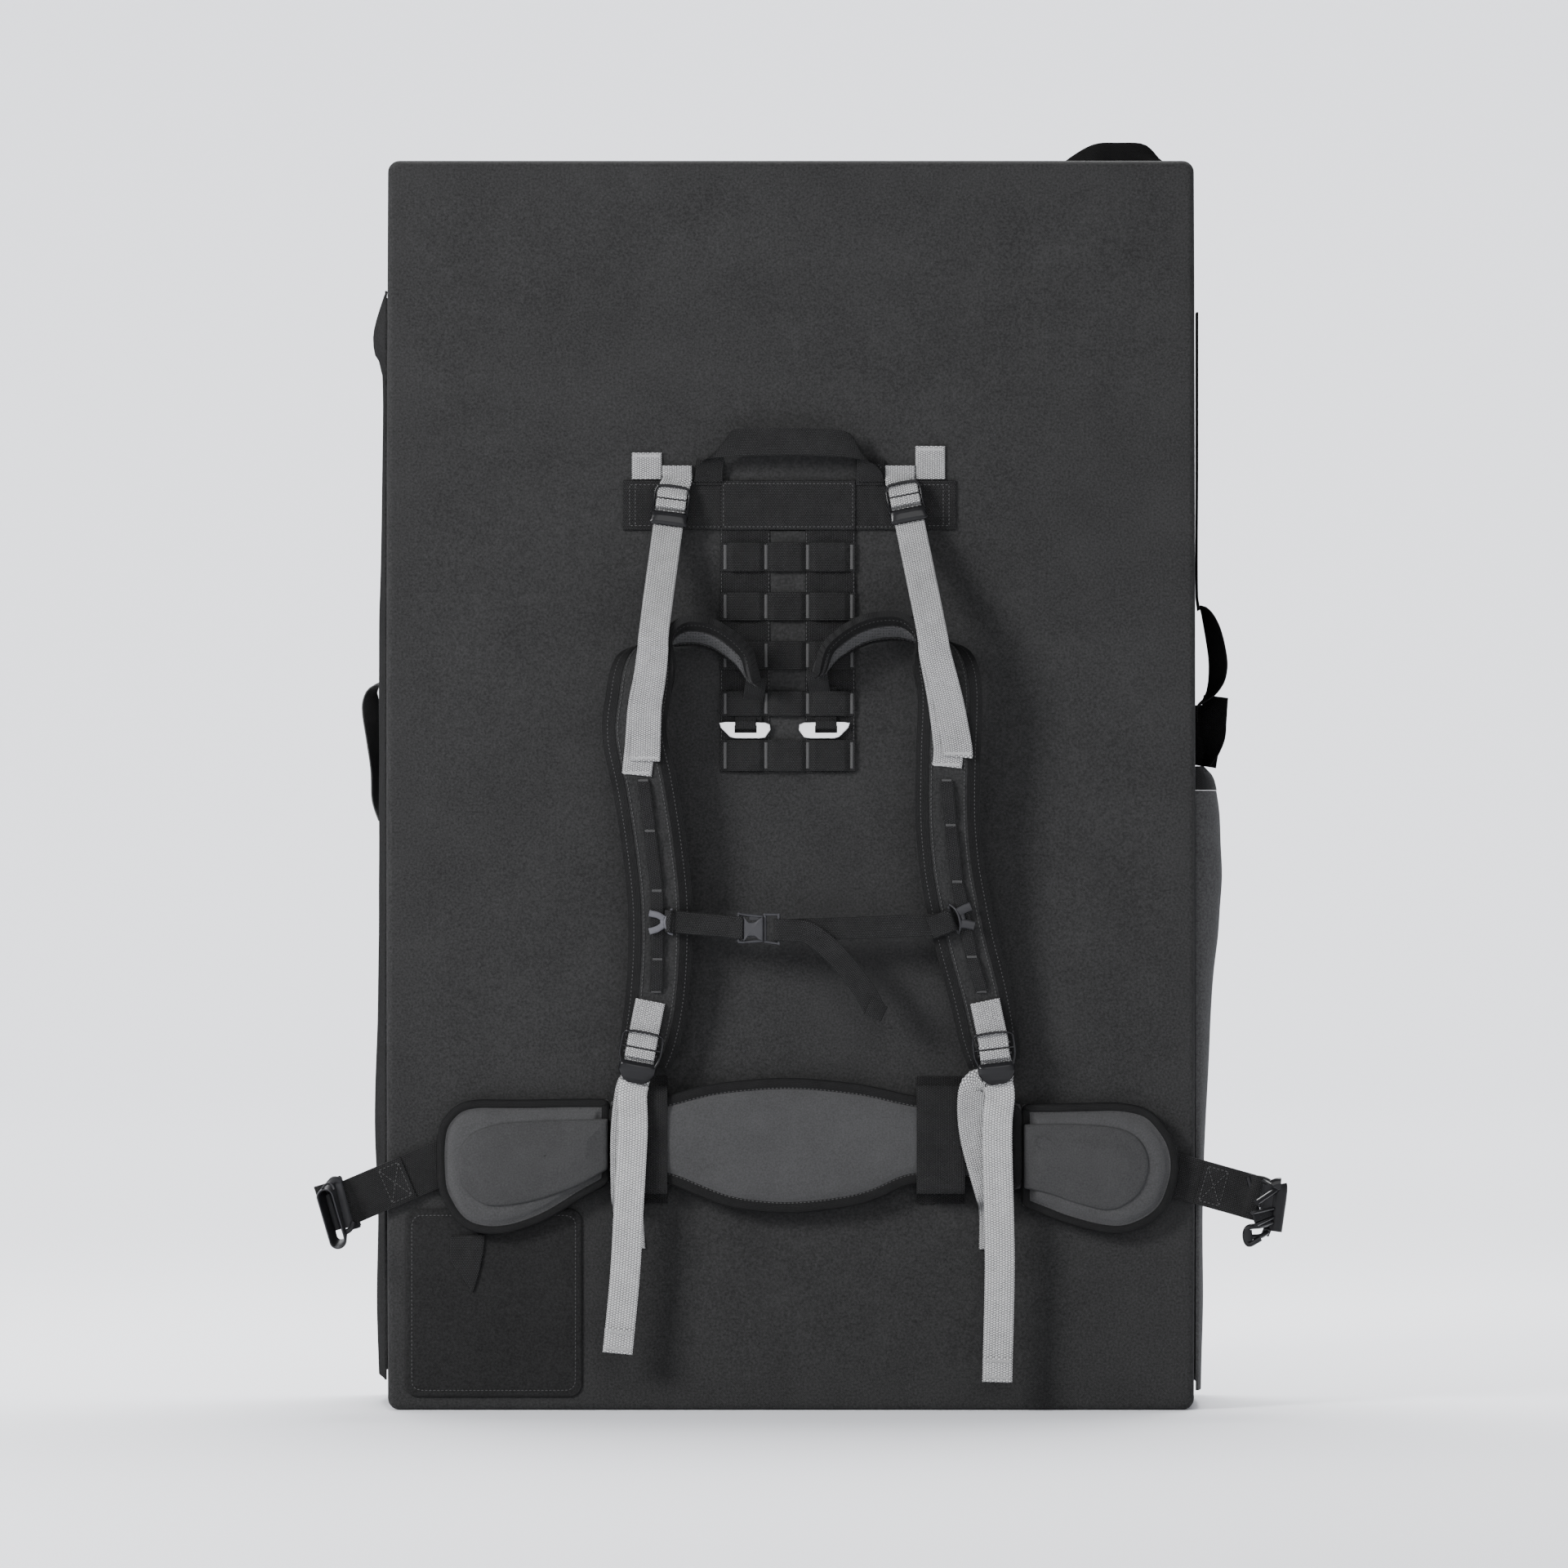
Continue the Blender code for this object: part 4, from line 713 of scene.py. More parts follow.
def ladder_lock(name, fr, lip, tongue, top):
    """Ladder-lock: a frame that arches over the strap, its bars, and a bulging lip whose tongue
    narrows. The lip's face is a flattened arch across."""
    half = INCH / 2 + 0.0017
    low = -PITCH - LOCK_BAR / 2 - lip
    turn = 0.0036
    wide = half + 0.0002 + (top - 0.0146) * 0.8
    rail = [
        (half - 0.0010, -PITCH - 0.0034, 0.0012), (half + 0.0006, -PITCH + 0.001, 0.0012),
        (wide, 0, 0.0014), (wide, top - turn * 1.6, 0.0030),
        (wide - turn * 0.4, top - turn * 0.4, 0.0050), (half - turn, top, 0.0062),
    ]
    ring = rail + [(0, top + 0.0006, 0.0064)] + [(-u, v, w) for u, v, w in rail[::-1]]
    ring = curve([local(fr, *p) for p in ring], 0.0008)
    grids = [swept(ring, facing(ring, fr[3]), oval(0.0021, 0.0028))]
    for reach, v, w, size, high in (
        (wide, PITCH / 2, 0.0012, 0.0020, 0.0030),
        (half, PITCH, 0, LOCK_BAR * 0.92, LOCK_THICK * 0.9),
        (half, 0, 0, LOCK_BAR * 0.92, LOCK_THICK),
    ):
        bar = np.array([local(fr, u, v, w) for u in np.linspace(-reach, reach, 14)])
        grids.append(swept(bar, fr[2], oval(size, high)))
    across = np.linspace(-1, 1, 29)
    down = np.linspace(0, 1, 26)
    start = -PITCH + LOCK_BAR / 2
    reach = (low - start) * down + start
    past = np.clip(down - 1 + tongue, 0, 1) / max(tongue, 1e-6)
    narrow = np.where(down < 1 - tongue, 1.0, 1 - 0.52 * past**1.5)
    closing = np.sqrt(np.clip(1 - ((down - 0.86) / 0.14).clip(0) ** 2, 0.05, 1))
    width = (half + 0.0014) * narrow * (0.75 + 0.25 * closing)
    crown = np.interp(down, (0, 0.18, 0.45, 0.8, 1), (0.5, 1.0, 0.92, 0.62, 0.2))
    arch = np.sqrt(np.clip(1 - np.abs(across) ** 3.2, 0.0, 1))
    rows = []
    for v, wide_half, rise in zip(reach, width, crown):
        front = [local(fr, u * wide_half, v, 0.0002 + rise * 0.0044 * (0.32 + 0.68 * a))
                 for u, a in zip(across, arch)]
        rear = [local(fr, u * wide_half * 0.98, v, -0.0010 * (0.3 + 0.7 * a) * (0.4 + rise))
                for u, a in zip(across, arch)]
        rows.append(front + rear[::-1])
    points = np.array(rows)
    grids.append((points, False, points[..., ::2]))
    return joined(name, grids)


def hinted_webbing(name, points, hints, width=INCH, spacing=0.003):
    """Webbing along the points, whose width directions are smoothed with them."""
    line = curve(np.hstack((np.asarray(points, float), np.asarray(hints, float))), spacing)
    return webbing(name, line[:, :3], unit(line[:, 3:6]), width)


def shade_property(name, what, *default):
    return FloatVectorProperty(name=name, description="Colour of " + what, subtype="COLOR",
                               default=default)


def pitch_property(name, what, default, least):
    return FloatProperty(name=name, description="Distance between " + what, subtype="DISTANCE",
                         default=default, min=least, max=0.005)


class PadSettings(bpy.types.PropertyGroup):
    """Sizes and colours of the dressed pad."""

    fabric: shade_property("Pad fabric", "the pad's nylon", 0.0240, 0.0240, 0.0241)
    binding: shade_property("Black webbing", "black webbing and binding", 0.0145, 0.0145, 0.0147)
    pale: shade_property("Pale webbing", "the adjusting straps", 0.29, 0.29, 0.291)
    flap: shade_property("Closure flap", "the closure flap", 0.048, 0.048, 0.0485)
    mesh: shade_property("Belt mesh", "the open mesh on the belt", 0.066, 0.066, 0.067)
    plastic: shade_property("Plastic", "the buckles", 0.018, 0.018, 0.020)
    metal: shade_property("Hook metal", "the aluminium hooks", 0.80, 0.80, 0.81)
    weave: pitch_property("Weave pitch", "threads of the pad fabric", 0.0011, 0.0003)
    rib: pitch_property("Webbing rib", "ribs of the webbing", 0.0013, 0.0004)
    backdrop: shade_property("Backdrop", "the floor and backdrop", 0.85, 0.858, 0.895)
    key_light: FloatProperty(name="Key light", description="Power of the main light in watts",
                             default=300.0, min=0.0, max=5000.0)


def settings():
    return bpy.context.scene.crash_pad


class MakeFinishes(bpy.types.Operator):
    """Makes the materials"""

    bl_idname = "crash_pad.finishes"
    bl_label = "Finishes"

    def execute(self, context):
        s = settings()
        tape = s.rib
        for kind, maker, name, base, share, *values in (
            ("fabric", woven, "charcoal_nylon", s.fabric, 1, s.weave, 0.00016, 0.72),
            # The pocket's nylon is the pad fabric darkened to 0.62 share, as painted shade for the
            # pad's low corner
            ("pocket", woven, "pocket_nylon", s.fabric, 0.62, s.weave, 0.00018, 0.75),
            ("shoulder", woven, "shoulder_nylon", s.fabric, 1, s.weave, 0.00018, 0.75),
            # The spine's nylon is the pad fabric darkened to 0.95 share, as painted shade on the
            # side that the key light strikes
            ("spine", woven, "spine_nylon", s.fabric, 0.95, s.weave, 0.00016, 0.8, 0.0, 0.0),
            ("flap", woven, "flap_nylon", s.flap, 1, s.weave, 0.00014, 0.78),
            # The deep finish is the black webbing at half share and without shine: painted shade on
            # the handles that the top and rear light strike
            ("deep", ribbed, "dark_webbing", s.binding, 0.5, tape, 0.00028, 0.8, 0.30, 0.34, 0.0),
            ("webbing", ribbed, "black_webbing", s.binding, 1.2, tape, 0.0003, 0.62, 0.42, 0.45),
            ("pale", ribbed, "pale_webbing", s.pale, 1, tape * 1.35, 0.0004, 0.8, 0.36, 0.55),
            ("tail", ribbed, "pale_tail_webbing", s.pale, 1.25, tape * 1.6, 0.0004, 0.8, 0.3, 0.5),
            ("binding", ribbed, "binding_tape", s.binding, 0.7, 0.0009, 0.00014, 0.60),
            ("tape", ribbed, "charcoal_tape", s.fabric, 2.4, tape, 0.00020, 0.7),
            ("mesh", spacer_mesh, "spacer_mesh", s.mesh, 1),
            ("plastic", moulded, "black_acetal", s.plastic, 1, 0.42),
            ("gloss", moulded, "glossy_acetal", s.plastic, 0.4, 0.2),
            ("satin", moulded, "satin_acetal", s.plastic, 1.7, 0.45),
            ("clip", moulded, "grey_acetal", s.plastic, 4.6, 0.5),
            ("lining", spacer_mesh, "shoulder_lining", s.mesh, 0.7),
            ("belt", twill, "belt_cloth", s.mesh, 1),
            ("belt_dark", twill, "belt_moulded_cloth", s.mesh, 0.82),
            ("metal", moulded, "satin_aluminium", s.metal, 1, 0.34, 1.0, 0.00003),
            ("thread_black", thread, "black_thread", s.binding, 1.9),
            ("thread_grey", thread, "grey_thread", s.binding, 2.4),
            ("thread_pale", thread, "pale_thread", s.pale, 1),
            ("foam", moulded, "foam_sheet", (0.30, 0.36, 0.45), 1, 0.9, 0.0, 0.0004),
        ):
            finishes[kind] = maker(name, tone(base, share), *values)
        return {"FINISHED"}


class MakePad(bpy.types.Operator):
    """Makes the covers of the two pad halves"""

    bl_idname = "crash_pad.covers"
    bl_label = "Pad halves"

    def execute(self, context):
        front = cover_surface("harness_half_cover", FACE, PAD_THICKNESS / 2, 0.0, -0.001, 11)
        finish(front, "fabric", "front_cover")
        rear = cover_surface("rear_half_cover", REAR_START, REAR_END - 0.007, -0.001, 0.007, 23)
        finish(rear, "fabric", "rear_cover", body="rear_half")
        for name, y, body in (
            ("front_inner_seam", PAD_THICKNESS / 2 - 0.0022, "harness_half"),
            ("rear_inner_seam", REAR_START + 0.0022, "rear_half"),
        ):
            finish(seam_cord(name, y), "fabric", body=body)
        return {"FINISHED"}


# Rows and columns of the sheets' outer edges
SPINE_ROWS = (
    (354, 470), (384, 460), (405, 456), (427, 458.6), (452, 468), (559, 467.8), (700, 465.5),
    (799, 463.6), (1078, 463.6), (1260, 461.5), (1376, 458.5), (1487, 462), (1600, 461),
    (1692, 464),
)
FLAP_ROWS = (
    (968, 1490), (996, 1493.6), (1034, 1495), (1074, 1497), (1114, 1494.5), (1147, 1492),
    (1198, 1486), (1290, 1481), (1380, 1476), (1478, 1473), (1589, 1473.5), (1664, 1471.5),
    (1704, 1470.5),
)
BINDING_ROWS = ((938, 1474), (948, 1484), (957, 1488), (967.6, 1490.5))


# Points of a side sheet from front to back, and its thickness
SHEET_POINTS, SHEET_THICK = 40, 0.0018


def side_sheet(name, rows, depths, shares, seed=5, wave=0.0006):
    """Curved sheet up one side: its reach beyond the pad's wall is the row's reach times the
    depth's share, with slow waves, and a second layer inside gives it thickness."""
    grid = curve([(r, c, 0) for r, c in rows], 9.0)[:, :2]
    run = np.linspace(0, 1, SHEET_POINTS)
    s = np.interp(run, np.linspace(0, 1, len(shares)), shares)
    for _ in range(3):
        s[1:-1] = (s[:-2] + s[1:-1] * 2 + s[2:]) / 4
    y = np.interp(run, np.linspace(0, 1, len(depths)), depths)
    reach = px(grid[:, 1])[:, None] * (1 + (y[None, :] - FACE) / CAMERA_DISTANCE)
    sign = np.sign(reach.mean())
    wall = sign * (PAD_WIDTH / 2 + 0.0023)
    z = pz(grid[:, 0])
    yy, zz = np.broadcast_arrays(y[None, :], z[:, None])
    x = wall + (reach - wall) * s[None, :]
    x = x + sign * ripple(yy, zz, seed, 0.11) * wave * np.clip(s, 0.1, 1)[None, :]
    outer = np.stack((x, yy, zz), -1)
    inner = outer[:, ::-1] - np.array((sign * SHEET_THICK, 0, 0))
    points = np.concatenate((outer, inner), 1)
    return grid_mesh(name, points, points[..., 1:])


def sheet_width(piece):
    """Girth of a side sheet's outer layer from front to back, as the mean over its rows."""
    co = np.empty(len(piece.data.vertices) * 3)
    piece.data.vertices.foreach_get("co", co)
    outer = co.reshape(-1, SHEET_POINTS * 2, 3)[:, :SHEET_POINTS]
    return float(np.linalg.norm(np.diff(outer, axis=1), axis=2).sum(1).mean())


class MakeSides(bpy.types.Operator):
    """Makes the spine fabric, the closure flap and its binding"""

    bl_idname = "crash_pad.sides"
    bl_label = "Spine and flap"

    def execute(self, context):
        middle = (FACE + REAR_END) / 2
        span = (REAR_END - middle) * 0.78
        depths = middle + span * np.array((-1, -0.7, -0.35, 0, 0.35, 0.7, 1))
        spine = side_sheet("spine_fabric", SPINE_ROWS, depths, (0, 0.35, 0.8, 1, 0.8, 0.35, 0))
        # The spine sheet takes the spine finish: the pad fabric darkened as painted shade
        finish(spine, "spine", "spine_cover", body=None)
        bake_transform(spine)
        sheet_width(spine)
        front, back = FACE * 0.78, REAR_END - 0.011
        turn = np.radians((0, 15, 30, 45, 60, 75, 90))
        depths = np.concatenate((front + 0.034 * (1 - np.cos(turn)),
                                 front + (back - front) * np.array((0.4, 0.55, 0.72, 0.86, 1))))
        shares = (*np.sin(turn), 0.92, 0.78, 0.5, 0.22, 0)
        flap = side_sheet("closure_flap_fabric", FLAP_ROWS, depths, shares, seed=8)
        finish(flap, "flap", "closure_flap", body="rear_half")
        sheet_width(flap)
        tape = side_sheet("flap_edge_binding", BINDING_ROWS, depths, shares, seed=8, wave=0)
        finish(tape, "binding", "flap_binding", body="rear_half")
        return {"FINISHED"}


# Handles' columns and rows, each with its turn as a share. The top handle has columns, heights
# over the pad in rows, and turns.
TOP_HANDLE = (
    (1304, 0, 0), (1314, 3, 0.25), (1334, 10, 0.54), (1350, 13.5, 0.66), (1372, 14, 0.66),
    (1398, 13.5, 0.66), (1409, 10, 0.54), (1421, 3, 0.25), (1431, 0, 0),
)
LOOP = (
    (1471, 741, -0.1), (1478, 752, -0.35), (1485, 772, -0.52), (1490.5, 800, -0.58),
    (1491.5, 818, -0.58), (1489, 834, -0.5), (1482, 849, -0.3), (1474, 858, -0.1),
)
CLOSURE = (
    (1489, 852, -0.8), (1487, 868, -0.85), (1486, 884, -0.85), (1485, 902, -0.82),
    (1481, 921, -0.6), (1475.5, 937.1, -0.3),
)
CLOSURE_FOLD = (
    (1477, 862, -0.98), (1478.5, 884, -0.98), (1477.5, 905, -0.98), (1474, 922, -0.98),
    (1471.5, 938, -0.98),
)
SIDE_HANDLE = (
    (465.0, 834, 0), (457, 843, 0.3), (454.2, 856, 0.5), (454.4, 872, 0.55), (457.6, 908, 0.42),
    (460, 943, 0.28), (460.6, 980, 0.22), (465.0, 1006, 0),
)


def turned(share, toward):
    """Width directions that lie front to back, turned by a share to another way."""
    share = np.asarray(share)[:, None]
    return BACK * np.sqrt(1 - share * share) + toward * share


class MakeHandles(bpy.types.Operator):
    """Makes the handles and the closure strap on the pad's outline"""

    bl_idname = "crash_pad.handles"
    bl_label = "Edge handles"

    def execute(self, context):
        lift = STRAP / 2 + 0.0003
        wall = MIDDLE_COLUMN + (PAD_WIDTH / 2 + lift) / ACROSS
        rows = np.array(TOP_HANDLE, float)
        height = PAD_HEIGHT + lift + rows[:, 1] * UP
        line = curve(np.column_stack((px(rows[:, 0]), rows[:, 0] * 0, height, rows[:, 2])), 0.003)
        piece = webbing("top_carry_handle", line[:, :3], turned(line[:, 3], TOP))
        # The handles and the closure strap take the deep finish: black webbing darkened as painted
        # shade
        finish(piece, "deep", "top_handle")
        depth = FACE * 0.35
        ends = ((wall, 380, 0), (wall, 560, 0), (wall, 732, 0))
        for name, rows, y, cloth, body, node in (
            ("side_loop_handle", ends + LOOP + ((wall, 866, 0), (wall, 884, 0)), depth,
             "deep", "harness_half", "loop_handle_right"),
            ("closure_webbing", CLOSURE, depth + 0.010, "deep", "rear_half", "closure_strap"),
            ("closure_fold", CLOSURE_FOLD, depth + 0.016, "deep", "rear_half", None),
            ("spine_side_handle", SIDE_HANDLE, REAR_START + PAD_THICKNESS / 2, "tape",
             "rear_half", "side_handle_left"),
        ):
            line = curve([(*at(c, r, y), share) for c, r, share in rows], 0.003)
            line[:, 0] *= 1 + (y - FACE) / CAMERA_DISTANCE
            piece = webbing(name, line[:, :3], turned(line[:, 3], SIDE))
            finish(piece, cloth, *([node] if node else []), body=body)
        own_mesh(piece)
        return {"FINISHED"}


# Upper and lower edges of the ladder's rows, and the columns of its tacks
ROWS = ((664, 700), (725, 760), (785, 820), (846, 877), (906, 944))
TACKS = (888, 938, 989, 1043)
YOKE_ROW = 618.5
UPRIGHT = 0.0010
LADDER_FACE = FACE - GAP - UPRIGHT
GRAB_REACH = 0.018


def ladder_row(name, high, low):
    """One row of the webbing ladder: flat at the tacks, and raised in smooth bays between."""
    step = np.linspace(882, 1047, 166)
    lift = np.zeros_like(step)
    for a, b in zip(TACKS, TACKS[1:]):
        t = np.clip((step - a - 2.5) / (b - a - 5), 0, 1)
        lift = np.maximum(lift, np.clip(np.sin(t * math.pi) * 2.4, 0, 1))
    depth = LADDER_FACE - 0.0009 - lift * 0.0031
    path = np.stack((px(step), depth, np.full_like(step, pz((high + low) / 2))), -1)
    return webbing(name, path, TOP, (low - high) * UP)


# Lower and upper edge of the folded webbing, with how far each stands out as shares
GRAB_EDGES = (
    (850, 590, 885, 590, (0, 0)), (852, 580, 885, 580, (0.12, 0.05)),
    (856, 571, 886, 568, (0.35, 0.2)), (862, 564.5, 888, 550, (0.6, 0.45)),
    (871, 561.5, 892, 533, (0.72, 0.62)), (884, 560.5, 899, 526.5, (0.82, 0.75)),
    (905, 559.5, 912, 525.5, (0.92, 0.88)), (935, 558.5, 937, 525, (0.99, 0.96)),
    (968, 558, 968, 525, (1, 1)), (1000, 558.5, 998, 525.5, (0.99, 0.96)),
    (1028, 560, 1022, 527, (0.92, 0.88)), (1047, 562, 1036, 529, (0.82, 0.75)),
    (1060, 564, 1046, 537, (0.72, 0.62)), (1069, 568, 1048.5, 552, (0.6, 0.45)),
    (1076, 574, 1049, 568, (0.35, 0.2)), (1081, 582, 1049, 580, (0.12, 0.05)),
    (1083, 590, 1049, 590, (0, 0)),
)


def flat_ribbon(name, low, high):
    """Webbing given by its two edges: the section spans them, and its thickness faces the
    viewer."""
    centre, half = (low + high) / 2, (high - low) / 2
    section = strap_section(2.0, STRAP)
    section[:, 0] = np.clip(section[:, 0], -1, 1)
    wide, out = section[None, :, :1], section[None, :, 1:]
    points = centre[:, None] + half[:, None] * wide + VIEWER * out
    run = np.broadcast_to(lengths(centre)[:, None], points.shape[:2])
    across = np.broadcast_to(section[None, :, 0] * INCH / 2, points.shape[:2])
    return grid_mesh(name, points, np.stack((run, across), -1))


class MakeYoke(bpy.types.Operator):
    """Makes the yoke band, its grab handle and the webbing ladder"""

    bl_idname = "crash_pad.yoke"
    bl_label = "Yoke and ladder"

    def execute(self, context):
        z = float(pz(YOKE_ROW))
        for name, ends, depth, nodes in (
            ("yoke_webbing", (763, 1170, 60), FIRST_LAYER, ("yoke_band",)),
            ("yoke_second_layer", (883, 1047, 30), FIRST_LAYER - STRAP - 0.0001, ()),
        ):
            finish(webbing(name, level_line(*ends, depth, z), TOP, 61 * UP), "webbing", *nodes)
        face = FIRST_LAYER - STRAP / 2 - 0.0002
        over = face - STRAP
        for column, outer in ((795, 778), (1138, 1155)):
            seams.box(at(column, YOKE_ROW, face), 24 * ACROSS, 25 * UP, cross=False)
            seams.line((at(outer, 594, face), at(outer, 643, face)))
        for row in (592, 645):
            for first, last, depth in ((826, 883, face), (1047, 1108, face), (886, 1044, over)):
                seams.line((at(first, row, depth), at(last, row, depth)))
        for column in (886, 1044):
            seams.line((at(column, 592, over), at(column, 645, over)))
        for side, columns in (("left", (852, 885)), ("right", (1048, 1083))):
            mid = (columns[0] + columns[1]) / 2
            width = (columns[1] - columns[0]) * ACROSS
            line = [at(mid, 563, FACE - 0.0012), at(mid, 580, FIRST_LAYER - STRAP),
                    at(mid, 594, FIRST_LAYER - STRAP - 0.0002)]
            tab = webbing("handle_tab_" + side, curve(line, 0.003), SIDE, width)
            finish(tab, "webbing")
            seams.box(at(mid, 578, FIRST_LAYER - STRAP * 1.7), width * 0.36, 0.006, cross=False)
        rest = FACE - GAP - STRAP * 2 - GAP - STRAP / 2
        line = curve([
            (*at(c, r, rest - GRAB_REACH * low), *at(high_c, high_r, rest - GRAB_REACH * high))
            for c, r, high_c, high_r, (low, high) in GRAB_EDGES
        ], 0.0025)
        handle = flat_ribbon("grab_handle_webbing", line[:, :3], line[:, 3:])
        finish(handle, "webbing", "grab_handle", body="grab_handle")
        path = level_line(883, 1046, 12, FACE - 0.0006, float(pz(797.5)))
        base = webbing("ladder_backing", path, TOP, (945 - 650) * UP, 0.0006)
        finish(base, "fabric", "webbing_ladder")
        for number, (first, last) in enumerate(((882, 943), (986, 1047))):
            rows = np.linspace(649, 946, 60)
            path = np.stack((np.full_like(rows, px((first + last) / 2)),
                             np.full_like(rows, FACE - 0.0011), pz(rows)), -1)
            width = (last - first) * ACROSS
            strip = webbing(f"ladder_upright_{number}", path, SIDE, width, UPRIGHT)
            finish(strip, "webbing")
            y = FACE - 0.0019
            seams.tack(at(first + 2, 646.5, y), at(last - 2, 646.5, y), colour="thread_grey")
            seams.line((at(first + 1.5, 652, y), at(first + 1.5, 943, y)))
            seams.line((at(last - 1.5, 652, y), at(last - 1.5, 943, y)))
        for number, (high, low) in enumerate(ROWS):
            row = ladder_row(f"ladder_webbing_{number}", high, low)
            finish(row, "webbing")
            for column in TACKS:
                depth = LADDER_FACE - 0.0018
                seams.tack(at(column, high + 3, depth), at(column, low - 3, depth),
                           colour="thread_grey")
        return {"FINISHED"}


# Column and row of each hook, then its webbing's column and top row
HOOKS = {"left": (912.5, 894, 913, 848), "right": (1009, 894, 1011.5, 841)}


class MakeHooks(bpy.types.Operator):
    """Makes the webbing that carries the two aluminium hooks"""

    bl_idname = "crash_pad.hooks"
    bl_label = "Hooks"

    def execute(self, context):
        thin, wire, wire_gap, wire_row = 0.0010, 0.0015, 0.0005, 0.0145 / 2
        depth = LADDER_FACE - SLACK - thin - wire_gap - wire
        for side, (column, row, web, top) in HOOKS.items():
            fr = place_frame(at(column, row, depth), TOP)
            centre = float(px(web) - px(column))
            reach = wire + wire_gap + thin / 2
            under = wire_row - 0.0034 - reach
            rise = float(pz(top) - pz(row))
            upper = -reach + thin + SLACK
            points = ((rise, -reach), (under + reach / 2, -reach), (under, -reach / 2),
                      (under, reach / 2), (under + reach / 2, reach), (wire_row, reach),
                      (wire_row + reach * 1.6, upper), (rise, upper))
            line = curve([local(fr, centre, v, w) for v, w in points], 0.002)
            piece = webbing("hook_tape_" + side, line, SIDE, 0.018, thin)
            finish(piece, "webbing", "hook_webbing_" + side)
        return {"FINISHED"}


# Centre lines of the shoulder pads: column, row, depth as a share of the pad's face, twist from
# facing up to facing the viewer, and width as a share
SHOULDERS = {
    "left": (
        (926, 838, 1.29, 0, 0.40), (906, 802, 1.43, 0, 0.75), (872, 778, 1.50, 0.02, 0.92),
        (836, 774, 1.54, 0.12, 0.96), (808, 790, 1.62, 0.45, 0.98), (790, 820, 1.74, 0.85, 1),
        (782, 856, 1.76, 1, 1), (778, 900, 1.74, 1, 1), (790, 960, 1.68, 1, 1),
        (801, 1030, 1.62, 1, 1), (808.5, 1100, 1.54, 1, 1), (809, 1160, 1.46, 1, 0.99),
        (805, 1220, 1.40, 1, 0.98), (797, 1270, 1.34, 1, 0.93), (790, 1302, 1.30, 1, 0.80)),
    "right": (
        (1000, 828, 1.29, 0, 0.40), (1022, 795, 1.43, 0, 0.75), (1060, 772, 1.50, 0.02, 0.92),
        (1104, 768, 1.54, 0.12, 0.96), (1136, 786, 1.62, 0.45, 0.98), (1154, 815, 1.74, 0.85, 1),
        (1162, 850, 1.76, 1, 1), (1160, 927, 1.72, 1, 1), (1159.5, 1000, 1.65, 1, 1),
        (1164.5, 1060, 1.59, 1, 1), (1171.5, 1100, 1.54, 1, 1), (1182, 1150, 1.47, 1, 0.99),
        (1199, 1215, 1.40, 1, 0.97), (1210, 1268, 1.34, 1, 0.93), (1217, 1302, 1.30, 1, 0.80)),
}
# Thickness of the pads, their lean over the yoke, and their width
SHOULDER_THICK = 0.011
ARCH_LEAN = 0.42
SHOULDER_WIDE = 0.0525
shoulder_paths = {}


def shoulder_line(side):
    """Centre line, width directions and width shares of a shoulder pad."""
    sign = 1 if side == "left" else -1
    line = curve([(*at(c, r, FACE * d), *rest) for c, r, d, *rest in SHOULDERS[side]], 0.0035)
    angle = np.clip(line[:, 3], 0, 1) * math.pi / 2
    hints = SIDE[None] * (sign * np.sin(angle))[:, None] + VIEWER[None] * np.cos(angle)[:, None]
    along = unit(np.gradient(line[:, :3], axis=0))
    above = unit(np.cross(along, BACK)) * (1, 0, 1)
    above *= np.sign(above[:, 2:3] + 1e-9)
    lean = ARCH_LEAN * np.cos(angle) ** 2 * np.clip(lengths(line[:, :3]) / 0.03, 0.25, 1)
    hints = unit(hints + above * lean[:, None])
    return line[:, :3], hints, line[:, 4]


def on_pad(side, row):
    """Depth of a strap's middle that lies on a shoulder pad's front at a row."""
    path = shoulder_paths[side]
    hang = path[len(path) // 3:]
    face = float(np.interp(-pz(row), -hang[:, 2], hang[:, 1])) - SHOULDER_THICK / 2
    return face - 0.0005 - STRAP / 2


def cushion_section(width, thick):
    """Padded strap section: full in the middle, pinched to a thin edge under its binding."""
    t = np.linspace(-1, 1, 17)
    rise = np.interp(np.abs(t), (0.74, 0.86, 1.0), (1.0, 0.62, 0.36))
    rise = np.convolve(np.pad(rise, 1, mode="edge"), (0.25, 0.5, 0.25), "valid")
    low = np.stack((t * width / 2, -rise * thick / 2), -1)
    high = np.stack((t[::-1] * width / 2, rise[::-1] * thick / 2), -1)
    return np.vstack((low, high))


def binding_section(base):
    """Tape folded over the cushion's edge: the cushion's own section past a share of its half
    width, moved outwards, with its open ends turned down into the cushion."""
    share, cover, over = 0.60, 0.0006, 0.0012
    half = base[:, 0].max()
    keep = base[base[:, 0] > half * share]
    keep = keep[np.argsort(keep[:, 1])]
    low, high = keep[keep[:, 1] < 0], keep[keep[:, 1] > 0]
    low, high = low[np.argsort(low[:, 0])], high[np.argsort(-high[:, 0])]
    ring = np.vstack((low, high))
    ring[:, 1] += np.sign(ring[:, 1]) * cover
    ring[:, 0] += over * (ring[:, 0] / half) ** 8
    first = ring[0] * (1, 0.6) - (0.0003, 0)
    last = ring[-1] * (1, 0.6) - (0.0003, 0)
    return np.vstack((first, ring, last))


